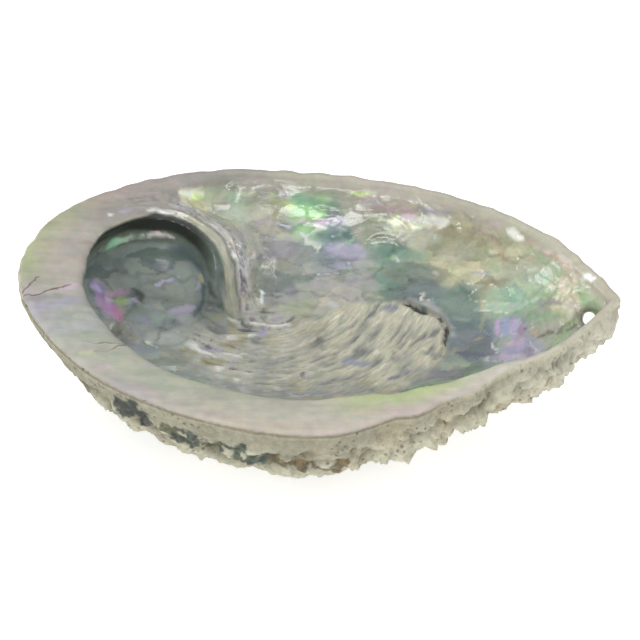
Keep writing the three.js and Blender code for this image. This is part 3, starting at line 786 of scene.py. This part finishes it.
def plate_paint(at):
    """A mosaic of pearl plates, with the hues of the part of the bowl that each lies in, and painted
    glints along some of their seams.
    """
    place = warped(at.p, 6.0, 3.0, 241)
    middles = np.array([middle for middle, _ in PEARL_PARTS], float)
    tables = np.array([hue_table(hues) for _, hues in PEARL_PARTS])
    away = np.linalg.norm(place[None, :, :2] - middles[:, None], axis=2)
    weight = np.exp(-(away - away.min(axis=0)) / PART_BLEND)
    weight /= weight.sum(axis=0)
    large, small, drift, seam = mosaic_layers(at.p * PAINT_STRETCH, PLATE_SIZE, 251)
    layers = pick_hues(tables, (0.52, 0.26, 0.22), (large[:, 0], small, drift))
    colour = np.einsum("pn,pnc->nc", weight, layers)
    grey = colour.mean(axis=1)[:, None]
    colour = np.maximum(grey + PEARL_CHROMA * (colour - grey), 0.02)
    level = 1.10 + 0.48 * (large[:, 1] - 0.5) + 0.26 * (small - 0.5)
    level += 0.04 * ease(40.0, 62.0, at.x) + 0.10 * ease(2.0, -12.0, at.x)
    level -= 0.12 * ease(14.0, 22.0, at.x) * ease(46.0, 40.0, at.x)
    shaded = seam * (large[:, 2] < 0.55)
    colour *= (level * (1.0 - 0.15 * shaded))[:, None]
    # Painted glints: near-white along the seams of some plates.
    glint = seam * ease(0.80, 0.86, large[:, 2]) * patches(at, 2.6, 261, 0.0, 0.4)
    return tint(colour, (236, 238, 228), 0.85 * glint)


def hollow_paint(at):
    table = hue_table(HOLLOW_HUES)
    large, small, drift, seam = mosaic_layers(at.p * PAINT_STRETCH, SHARD_SIZE, 281)
    colour = pick_hues(table, (0.4, 0.25, 0.35), (large[:, 0], small, drift))
    low = ease(21.0, 15.0, at.z)
    colour = tint(colour, (164, 174, 172), 0.45 * low)
    pale = ease(0.60, 0.66, large[:, 1]) * (0.25 + 0.75 * low)
    colour = tint(colour, (178, 186, 176), 0.55 * pale)
    colour = tint(colour, (186, 184, 206), 0.6 * (ease(0.80, 0.84, large[:, 2]) * low))
    colour = tint(colour, (84, 104, 96), 0.6 * ease(0.20, 0.14, large[:, 1]))
    colour *= (1.0 - 0.25 * seam * low)[:, None]
    # Painted shade under the hollow's overhanging edge: near-black just below the edge, dark olive a
    # little further down, and a dark navy band deeper still.
    edge = np.interp(at.mouth_turn, EDGE_TURNS, EDGE_HEIGHTS)
    edge_depth = edge - at.z + 0.5 * noise(at.p, 3.0, 285)
    right = ease(5.0, 25.0, at.mouth_turn)
    under_top = ease(28.0, 62.0, at.mouth_turn)
    olive_shade = ease(9.0, 5.0, edge_depth) * right * mix(0.35, 1.0, under_top)
    colour = tint(colour, (88, 96, 74), 0.75 * olive_shade)
    navy_shade = right * ease(95.0, 60.0, at.mouth_turn) * bell(edge_depth, 8.0, 1.8)
    colour = tint(colour, (54, 76, 80), 0.7 * navy_shade)
    shadow = ease(5.2, 3.4, edge_depth) * right * mix(0.20, 1.0, under_top)
    return tint(colour, (20, 27, 16), shadow)


def scar_paint(at):
    """Pale fibres over grey, greyest at the left."""
    colour = tint(srgb(152, 154, 144), (204, 201, 178), ease(0.1, 0.6, at.fibre))
    colour = tint(colour, (112, 116, 112), 0.8 * ease(0.20, 0.04, at.fibre))
    colour = tint(colour, (232, 230, 216), 0.8 * ease(0.80, 0.94, at.fibre))
    left = ease(4.0, -16.0, at.x) + ease(6.0, -6.0, at.y)
    grey = patches(at, 5.0, 291, -0.5, 0.5) * np.clip(left, 0.0, 1.0) * 0.75
    colour = tint(colour, (138, 142, 138), grey)
    return tint(colour, (170, 164, 130), 0.45 * patches(at, 6.0, 301, 0.1, 0.8))


def crumple_paint(at):
    colour = tint(srgb(84, 88, 90), (184, 184, 172), ease(0.26, 0.52, at.fold))
    colour = tint(colour, (236, 236, 232), 0.9 * ease(0.74, 0.86, at.fold))
    colour = tint(colour, (146, 138, 84), 0.6 * patches(at, 3.2, 293, 0.25, 0.7))
    return tint(colour, (166, 160, 186), 0.5 * patches(at, 3.6, 297, 0.3, 0.7))


def ridge_paint(at):
    """The crest is pale and finely lined, and the flank beyond it wrinkled and streaked, with painted
    shade in the creases of the wrinkles and painted highlights on their tops.
    """
    # The flank's own grey-purple, darker in the creases as painted shade and lighter on the tops.
    flank = tint(srgb(122, 118, 130), (208, 206, 206), ease(0.12, 0.5, at.wrinkle))
    lavender = 0.5 * patches(at, 2.4, 307, 0.0, 0.6)
    flank = tint(flank, (172, 160, 182), lavender)
    flank = tint(flank, (178, 176, 146), 0.5 * patches(at, 3.1, 308, 0.1, 0.7))
    specks = patches(at, 0.9, 310, 0.45, 0.75) * ease(-0.2, 0.4, lavender)
    flank = tint(flank, (70, 66, 76), 0.6 * specks)
    # Painted highlights: near-white on the tops of some wrinkles.
    bright = ease(0.62, 0.85, at.wrinkle) * patches(at, 3.0, 309, -0.1, 0.3)
    flank = tint(flank, (240, 240, 240), bright)
    upper = ease(38.0, 66.0, at.mouth_turn)
    crest = tint(srgb(172, 174, 154), (140, 142, 118), upper)
    # The crest lighter on the tops of its fine wrinkles than in their creases: painted highlight and
    # shade.
    crest = tint(crest, (194, 194, 176), ease(0.1, 0.7, at.wrinkle))
    # Painted highlights: thin near-white lines along the crest.
    lined = ease(0.80, 0.97, at.wrinkle) * patches(at, 5.0, 312, -0.3, 0.3)
    crest = tint(crest, (240, 242, 236), lined * (0.35 + 0.65 * upper))
    colour = mix(flank, crest, ease(22.2, 20.8, at.from_mouth)[:, None])
    line = bell(at.from_mouth - 21.4 - 0.6 * noise(at.p, 3.0, 313), 0.0, 0.40)
    return tint(colour, (72, 72, 74), 0.7 * line)


def lip_paint(at):
    degrees = np.degrees(at.angle) + 5.0 * noise(at.p * PAINT_STRETCH, 9.0, 311)
    stops = np.array([stop[0] for stop in LIP_HUES], float)
    across = ease(0.5, 8.5, at.inward + 1.6 * noise(at.p, 6.0, 321))[:, None]
    ends = []
    for side in (1, 2):
        hues = hue_table([stop[side] for stop in LIP_HUES])
        ends.append(np.stack([np.interp(degrees, stops, hues[:, c]) for c in range(3)], axis=1))
    colour = mix(*ends, across)
    drawn = at.p * np.array([0.22, 1.0, 1.0])
    streak = noise(drawn, 1.9, 325) * 0.4 + noise(drawn, 4.2, 327) * 0.7
    colour *= 1.05 + 0.05 * noise(at.p * PAINT_STRETCH, 5.0, 323)[:, None]
    streaks = tint(srgb(150, 146, 138), (196, 192, 178), ease(-0.7, 0.7, streak))
    colour = mix(colour, streaks, 0.24)
    slant = np.stack([at.x * 0.18, at.y - 0.28 * at.x, at.z], axis=1)
    dark = ease(0.40, 0.72, noise(slant, 2.4, 329)) * ease(-34.0, -50.0, at.x)
    return tint(colour, (126, 122, 116), 0.42 * dark)


def add_dabs(colour, at):
    """Strokes of single hues over the inside, such as its colour patches and dark creases, and painted
    highlights and painted shadows.
    """
    moved = warped(warped(at.p, 2.6, 0.8, 331), 1.1, 0.35, 335)
    patchy = np.clip(0.90 + 0.30 * noise(at.p, 1.6, 337), 0.0, 1.0)
    for *ends, width, hue, strength in DABS:
        a, b = np.array(ends[:3], float), np.array(ends[3:], float)
        near = length(moved - (a + b) / 2) < np.linalg.norm(b - a) / 2 + 2 * width
        near &= at.inside > 0.1
        offset = moved[near] - a
        run = b - a
        share = np.clip(offset @ run / (run @ run), 0.0, 1.0)
        away = length(offset - share[:, None] * run) / width
        taper = 1.0 - 0.35 * np.abs(2.0 * share - 1.0) ** 2
        outer, inner = (1.3, 0.7) if width < CRISP_WIDTH else (1.6, 0.3)
        cover = strength * ease(outer, inner, away / taper)
        # The lightest strokes, mostly painted highlights, keep their hue and full cover.
        bright = min(hue) > BRIGHT_HUE
        if not bright:
            cover *= patchy[near]
        softened = mix(srgb(*hue), PEARL_GREY, 0.0 if bright else 0.10)
        colour[near] = mix(colour[near], softened, cover[:, None])
    return colour


def paint(ob, at):
    colour = mix(plate_paint(at), ridge_paint(at), (0.85 * at.ridge)[:, None])
    colour = mix(colour, hollow_paint(at), at.hollow[:, None])
    colour = mix(colour, scar_paint(at), at.scar[:, None])
    colour = mix(colour, crumple_paint(at), (at.crumple * (1.0 - 0.75 * at.scar))[:, None])
    edge = np.maximum(at.lip, ease(7.0, 3.0, at.below) * ease(6.0, 3.0, at.inward))
    colour = mix(colour, lip_paint(at), edge[:, None])
    colour = add_dabs(colour, at)
    # Painted shade: the groove along the scar's far edge filled near-black, in broken patches.
    crevice_shade = at.crevice * patches(at, 1.3, 339, -0.5, 0.1)
    colour = tint(colour, (30, 32, 30), ease(0.35, 0.7, crevice_shade))
    colour *= (1.0 + 0.06 * noise(at.p, 2.2, 341) + 0.05 * noise(at.p, 9.0, 351))[:, None]
    # Painted shade: dark brown round the inner mouths of the open pores.
    colour = tint(colour, (92, 80, 66), 0.6 * at.bore_ring * at.inside)
    colour = mix(colour, crust_paint(at), at.outside[:, None])
    give_attribute(ob, "paint", np.clip(colour, 0.0, 1.0))
    give_attribute(ob, "scar", np.maximum(at.scar, 0.6 * np.maximum(at.crumple, at.ridge)))
    rough = 0.29 + 0.16 * at.scar + 0.14 * at.lip + 0.22 * at.hollow - 0.06 * at.ridge
    rough += 0.10 * at.crumple
    give_attribute(ob, "polish", rough)
    give_attribute(ob, "flow", flow_lines(at))


def flow_lines(at):
    """Coordinates drawn out along the way that the pearl runs in each part."""
    lines = np.stack([at.x / 14.0, at.y * 0.42, at.z * 0.2], axis=1)
    fibres = np.stack([at.sweep * at.strand / 4.0, at.strand, at.z * 0.3], axis=1)
    loose = at.p * np.array([0.25, 0.6, 0.6])
    turned = np.stack([np.radians(at.mouth_turn) * 4.0, at.from_mouth, at.z * 0.2], axis=1)
    flow = mix(mix(loose, lines, at.lip[:, None]), turned, (at.ridge > 0.5)[:, None])
    grain = np.maximum(at.scar, at.crumple)
    return mix(flow, fibres, (grain > 0.5)[:, None])


def give_attribute(ob, name, values):
    """A number, a colour or a vector for each point, kept with the mesh."""
    if values.ndim == 1:
        layer = ob.data.attributes.new(name, "FLOAT", "POINT")
        layer.data.foreach_set("value", values.astype(np.float32))
    elif name == "paint":
        layer = ob.data.color_attributes.new(name=name, type="FLOAT_COLOR", domain="POINT")
        rgba = np.concatenate([values, np.ones((len(values), 1))], axis=1)
        layer.data.foreach_set("color", rgba.astype(np.float32).ravel())
    else:
        layer = ob.data.attributes.new(name, "FLOAT_VECTOR", "POINT")
        layer.data.foreach_set("vector", values.astype(np.float32).ravel())


# ---- The shell ----

def fine_copy(node):
    """A copy of the CAD shell as an even, fine mesh with its facets smoothed away."""
    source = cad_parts[node]
    shell = bpy.data.objects.new("shell", source.data.copy())
    bpy.context.scene.collection.objects.link(shell)
    shell.data.materials.clear()
    select_only(shell)
    bpy.ops.object.mode_set(mode="EDIT")
    bpy.ops.mesh.select_all(action="SELECT")
    bpy.ops.mesh.remove_doubles(threshold=0.01 * MM)
    bpy.ops.object.mode_set(mode="OBJECT")
    apply_modifier(shell, "REMESH", mode="VOXEL", voxel_size=VOXEL * MM)
    apply_modifier(shell, "SMOOTH", factor=0.5, iterations=SMOOTH_ALL)
    return shell


def weigh(shell, name, weights):
    """A vertex group of this name, with each point's weight."""
    group = shell.vertex_groups.new(name=name)
    for index, weight in enumerate(weights):
        if weight > LEAST_WEIGHT:
            group.add([index], float(weight), "REPLACE")


def smooth_bowl(shell, rim_ring):
    """More smoothing on the broad faces, away from the rim and the hollow's mouth."""
    points, _ = read_points(shell)
    at = locate(points, rim_ring)
    broad = (1.0 - at.lip) * ease(2.5, 6.0, at.below)
    flat = at.lip * ease(2.5, 5.0, at.inward)
    weigh(shell, "broad", np.maximum(broad, 0.5 * flat))
    apply_modifier(shell, "SMOOTH", factor=0.5, iterations=SMOOTH_BOWL, vertex_group="broad")
    foot = at.inside * ease(17.5, 14.0, at.z) * ease(25.0, 21.0, at.from_bulb)
    weigh(shell, "foot", foot * ease(27.0, 22.0, at.y))
    apply_modifier(shell, "SMOOTH", factor=0.5, iterations=SMOOTH_FOOT, vertex_group="foot")


def thin_out(shell, at):
    """Fewer faces on the crust, most of all where it faces down or back."""
    turned_away = np.maximum(ease(18.0, 11.0, at.z), ease(0.0, 0.4, np.sin(at.angle)))
    weigh(shell, "coarse", at.outside * mix(0.15, 1.0, turned_away) * (1.0 - at.bore))
    faces = sum(len(face.vertices) - 2 for face in shell.data.polygons)
    apply_modifier(shell, "DECIMATE", ratio=FACE_LIMIT / faces, vertex_group="coarse")
    points, _ = read_points(shell)
    points[:, 2] = np.maximum(points[:, 2], 0.0)
    write_points(shell, points)


def paint_faces(shell, outside):
    """The crust's material on the outside, and pearl on the rest."""
    shell.data.materials.append(pearl_material())
    shell.data.materials.append(crust_material())
    corners = np.empty(len(shell.data.loops), np.int32)
    shell.data.loops.foreach_get("vertex_index", corners)
    starts = np.empty(len(shell.data.polygons), np.int32)
    shell.data.polygons.foreach_get("loop_start", starts)
    slot = (np.add.reduceat(outside[corners], starts) > 2.0).astype(np.int32)
    shell.data.polygons.foreach_set("material_index", slot)


def build_shell():
    rim_ring = rim_of_the_frame()
    shell = fine_copy(NODE)
    smooth_bowl(shell, rim_ring)
    at = carve(shell, rim_ring)
    paint(shell, at)
    select_only(shell)
    bpy.ops.object.shade_smooth()
    paint_faces(shell, at.outside)
    thin_out(shell, at)
    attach(shell, "root")
    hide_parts(NODE)
    return shell


# ---- Materials ----

MIDDLE = (0.5, 0.5, 0.5)
# How fine each pattern is, as the scale of its texture for lengths in metres.
SILK_SCALE = 1.5
GRAIN_SCALE = 420.0
DENT_SCALE = 300.0
CHALK_SCALE = 700.0
PINHOLE_SCALE = 620.0
PATCH_SCALE = 150.0
WANDER_SCALE = 260.0
WANDER = 0.0035


def feed(tree, value, target):
    """Link an output to this input, or set the input to a value."""
    if isinstance(value, bpy.types.NodeSocket):
        tree.links.new(value, target)
    else:
        target.default_value = value


def add_node(tree, kind, values=None, **settings):
    """A new shader node, with values or outputs fed to its inputs."""
    node = tree.nodes.new("ShaderNode" + kind)
    for key, value in settings.items():
        setattr(node, key, value)
    for name, value in (values or {}).items():
        feed(tree, value, node.inputs[name])
    return node


def sums(tree, operation, *values, **settings):
    """One step of number work."""
    node = add_node(tree, "Math", dict(enumerate(values)), operation=operation, **settings)
    return node.outputs[0]


def vector_sums(tree, operation, *values, output="Vector"):
    node = add_node(tree, "VectorMath", dict(enumerate(values)), operation=operation)
    return node.outputs[output]


def scaled(tree, vector, scale):
    node = add_node(tree, "VectorMath", {0: vector, "Scale": scale}, operation="SCALE")
    return node.outputs[0]


def ranged(tree, value, start, end, low, high):
    """A value from start to end turned into one from low to high."""
    values = {"Value": value, "From Min": start, "From Max": end, "To Min": low, "To Max": high}
    return add_node(tree, "MapRange", values).outputs["Result"]


def bumped(tree, height, strength, distance, below=None):
    """A normal for this height, on top of the normal below it."""
    values = {"Height": height, "Strength": strength, "Distance": distance}
    if below is not None:
        values["Normal"] = below
    return add_node(tree, "Bump", values).outputs["Normal"]


def new_group(name, inputs, outputs):
    group = bpy.data.node_groups.new(name, "ShaderNodeTree")
    for title, kind, value in inputs:
        socket = group.interface.new_socket(name=title, in_out="INPUT",
                                            socket_type="NodeSocket" + kind)
        socket.default_value = value
    for title, kind in outputs:
        group.interface.new_socket(name=title, in_out="OUTPUT", socket_type="NodeSocket" + kind)
    return group, group.nodes.new("NodeGroupInput").outputs, group.nodes.new("NodeGroupOutput").inputs


def mottle_group():
    """Fine light and dark mottling of a colour, with a drift of hue, and a matching height."""
    group, given, out = new_group(
        "fine_mottle",
        [("Colour", "Color", (1, 1, 1, 1)), ("Vector", "Vector", (0, 0, 0)),
         ("Scale", "Float", 1.0), ("Amount", "Float", 0.2), ("Hue Drift", "Float", 0.1)],
        [("Colour", "Color"), ("Height", "Float")],
    )
    grain = add_node(group, "TexNoise", {"Vector": given["Vector"], "Scale": given["Scale"],
                                         "Detail": 5.0, "Roughness": 0.6})
    light = sums(group, "SUBTRACT", grain.outputs["Fac"], 0.5)
    light = sums(group, "MULTIPLY_ADD", light, given["Amount"], 1.0)
    hue = vector_sums(group, "SUBTRACT", grain.outputs["Color"], MIDDLE)
    factor = vector_sums(group, "ADD", scaled(group, hue, given["Hue Drift"]), light)
    feed(group, vector_sums(group, "MULTIPLY", given["Colour"], factor), out["Colour"])
    feed(group, grain.outputs["Fac"], out["Height"])
    return group


def crack_group():
    """How much a point lies on a thin wandering line between two points, both in metres."""
    group, given, out = new_group(
        "hair_crack",
        [("Start", "Vector", (0, 0, 0)), ("End", "Vector", (0, 0, 0)), ("Width", "Float", 0.0003)],
        [("Mask", "Float")],
    )
    where = add_node(group, "TexCoord").outputs["Object"]
    grain = add_node(group, "TexNoise", {"Vector": where, "Scale": WANDER_SCALE, "Detail": 3.0})
    wander = vector_sums(group, "SUBTRACT", grain.outputs["Color"], MIDDLE)
    moved = vector_sums(group, "ADD", where, scaled(group, wander, WANDER))
    offset = vector_sums(group, "SUBTRACT", moved, given["Start"])
    offset = vector_sums(group, "MULTIPLY", offset, (1.0, 1.0, 0.15))
    run = vector_sums(group, "SUBTRACT", given["End"], given["Start"])
    along = vector_sums(group, "DOT_PRODUCT", offset, run, output="Value")
    square = vector_sums(group, "DOT_PRODUCT", run, run, output="Value")
    foot = scaled(group, run, sums(group, "DIVIDE", along, square, use_clamp=True))
    away = vector_sums(group, "DISTANCE", offset, foot, output="Value")
    feed(group, ranged(group, away, 0.0, given["Width"], 1.0, 0.0), out["Mask"])
    return group


def new_material(name):
    material = bpy.data.materials.new(name)
    material.use_nodes = True
    tree = material.node_tree
    return material, tree, tree.nodes["Principled BSDF"]


def attribute(tree, name, output):
    node = add_node(tree, "Attribute", attribute_name=name, attribute_type="GEOMETRY")
    return node.outputs[output]


# Fine cracks in the lip: start and end, and the width of each.
CRACKS = [
    ((-74.5, 0.5, 33.0), (-69.9, 7.5, 33.0)), ((-74.5, 0.5, 33.0), (-70.0, 0.2, 33.0)),
    ((-70.0, 0.2, 33.0), (-64.3, 4.2, 33.0)), ((-64.3, 4.2, 33.0), (-58.4, 7.2, 32.0)),
    ((-46.8, -16.8, 32.5), (-56.4, -22.5, 33.0)), ((-46.8, -16.8, 32.5), (-60.5, -17.5, 33.0)),
]
CRACK_WIDTH = 0.42


def crack_mask(tree):
    total = 0.0
    for start, end in CRACKS:
        values = {"Start": [c * MM for c in start], "End": [c * MM for c in end],
                  "Width": CRACK_WIDTH * MM}
        crack = add_node(tree, "Group", values, node_tree=CRACK).outputs["Mask"]
        total = sums(tree, "MAXIMUM", total, crack)
    return total


MOTTLE = mottle_group()
CRACK = crack_group()


def mottled(tree, vector, colour, scale, amount, drift):
    """The outputs of a mottling of this colour."""
    values = {"Vector": vector, "Colour": colour, "Scale": scale, "Amount": amount,
              "Hue Drift": drift}
    return add_node(tree, "Group", values, node_tree=MOTTLE).outputs


def pearl_material():
    material, tree, shader = new_material("nacre")
    where = add_node(tree, "TexCoord").outputs["Object"]
    strength = sums(tree, "MULTIPLY_ADD", attribute(tree, "scar", "Fac"), 1.05, 0.16)
    flow = attribute(tree, "flow", "Vector")
    silk = mottled(tree, flow, attribute(tree, "paint", "Color"), SILK_SCALE, strength, 0.30)
    mottle = mottled(tree, where, silk["Colour"], GRAIN_SCALE, 0.30, 0.20)
    values = {0: crack_mask(tree), 6: mottle["Colour"], 7: (*srgb(88, 74, 58), 1.0)}
    cracked = add_node(tree, "Mix", values, data_type="RGBA", blend_type="MIX")
    feed(tree, cracked.outputs[2], shader.inputs["Base Color"])

    wear = ranged(tree, silk["Height"], 0.3, 0.7, 0.85, 1.2)
    gloss = sums(tree, "MULTIPLY", wear, attribute(tree, "polish", "Fac"))
    feed(tree, gloss, shader.inputs["Roughness"])

    fine = bumped(tree, silk["Height"], 0.20, 0.0006)
    dents = add_node(tree, "TexVoronoi", {"Vector": where, "Scale": DENT_SCALE},
                     feature="SMOOTH_F1")
    beaten = bumped(tree, dents.outputs["Distance"], 0.08, 0.0010, fine)
    feed(tree, beaten, shader.inputs["Normal"])
    shader.inputs["IOR"].default_value = 1.6
    shader.inputs["Coat Weight"].default_value = 0.30
    shader.inputs["Coat Roughness"].default_value = 0.17
    return material


def crust_material():
    material, tree, shader = new_material("crust")
    where = add_node(tree, "TexCoord").outputs["Object"]
    mottle = mottled(tree, where, attribute(tree, "paint", "Color"), CHALK_SCALE, 0.9, 0.1)
    pores = add_node(tree, "TexVoronoi", {"Vector": where, "Scale": PINHOLE_SCALE})
    bare = add_node(tree, "TexNoise", {"Vector": where, "Scale": PATCH_SCALE, "Detail": 3.0})
    clear = ranged(tree, bare.outputs["Fac"], 0.44, 0.60, 0.30, -0.06)
    reach = sums(tree, "ADD", pores.outputs["Distance"], clear)
    pits = ranged(tree, reach, 0.05, 0.34, 0.45, 1.0)
    feed(tree, scaled(tree, mottle["Colour"], pits), shader.inputs["Base Color"])
    rough = ranged(tree, mottle["Height"], 0.0, 1.0, 0.72, 0.95)
    feed(tree, rough, shader.inputs["Roughness"])
    coarse = bumped(tree, mottle["Height"], 0.8, 0.0009)
    feed(tree, bumped(tree, pits, 0.5, 0.0006, coarse), shader.inputs["Normal"])
    return material


# ---- The studio ----

# Each light: name, place and size in metres, and power.
LIGHTS = [
    ("overhead", (-0.20, 0.20, 1.0), 1.50, 5.0), ("front", (-0.28, -0.9, 0.32), 0.34, 3.7),
    ("left", (-1.0, 0.10, 0.25), 0.22, 1.4), ("right", (0.9, 0.15, 0.42), 0.22, 1.4),
]
WHITE = (1.0, 1.0, 1.0, 1.0)


def add_floor():
    """Pale paper on a lit table, so that the shadow on it stays faint."""
    bpy.ops.mesh.primitive_plane_add(size=6.0, location=(0.0, 0.0, 0.0))
    floor = bpy.context.object
    floor.name = "floor"
    material, _, shader = new_material("pale_paper")
    shader.inputs["Base Color"].default_value = (0.92, 0.92, 0.92, 1.0)
    shader.inputs["Roughness"].default_value = 0.9
    shader.inputs["Emission Color"].default_value = WHITE
    shader.inputs["Emission Strength"].default_value = 0.55
    floor.data.materials.append(material)


def place_in_scene(name, data, place):
    ob = bpy.data.objects.new(name, data)
    bpy.context.scene.collection.objects.link(ob)
    ob.location = place
    return ob


def add_studio():
    world = bpy.data.worlds.new("studio")
    world.use_nodes = True
    world.node_tree.nodes["Background"].inputs["Color"].default_value = WHITE
    world.node_tree.nodes["Background"].inputs["Strength"].default_value = 0.50
    bpy.context.scene.world = world
    for name, place, size, power in LIGHTS:
        data = bpy.data.lights.new(name, "AREA")
        data.shape = "DISK"
        data.size = size
        data.energy = power
        light = place_in_scene(name, data, place)
        light.rotation_euler = (-light.location).to_track_quat("-Z", "Y").to_euler()
    bpy.context.scene.view_settings.view_transform = "Standard"


def add_camera():
    """Looks along +Y from 40 degrees above the rim, with a long lens."""
    distance, elevation, seen_width, sensor = 1200.0, math.radians(40.0), 158.8, 36.0
    target = np.array([0.26, -2.2, 27.3])
    back = np.array([0.0, -math.cos(elevation), math.sin(elevation)])
    data = bpy.data.cameras.new("camera")
    data.sensor_width = sensor
    data.lens = sensor * distance / seen_width
    data.clip_end = 20.0
    camera = place_in_scene("camera", data, (target + back * distance) * MM)
    camera.rotation_euler = (math.radians(90.0) - elevation, 0.0, 0.0)
    bpy.context.scene.camera = camera


add_camera()
build_shell()
add_floor()
add_studio()
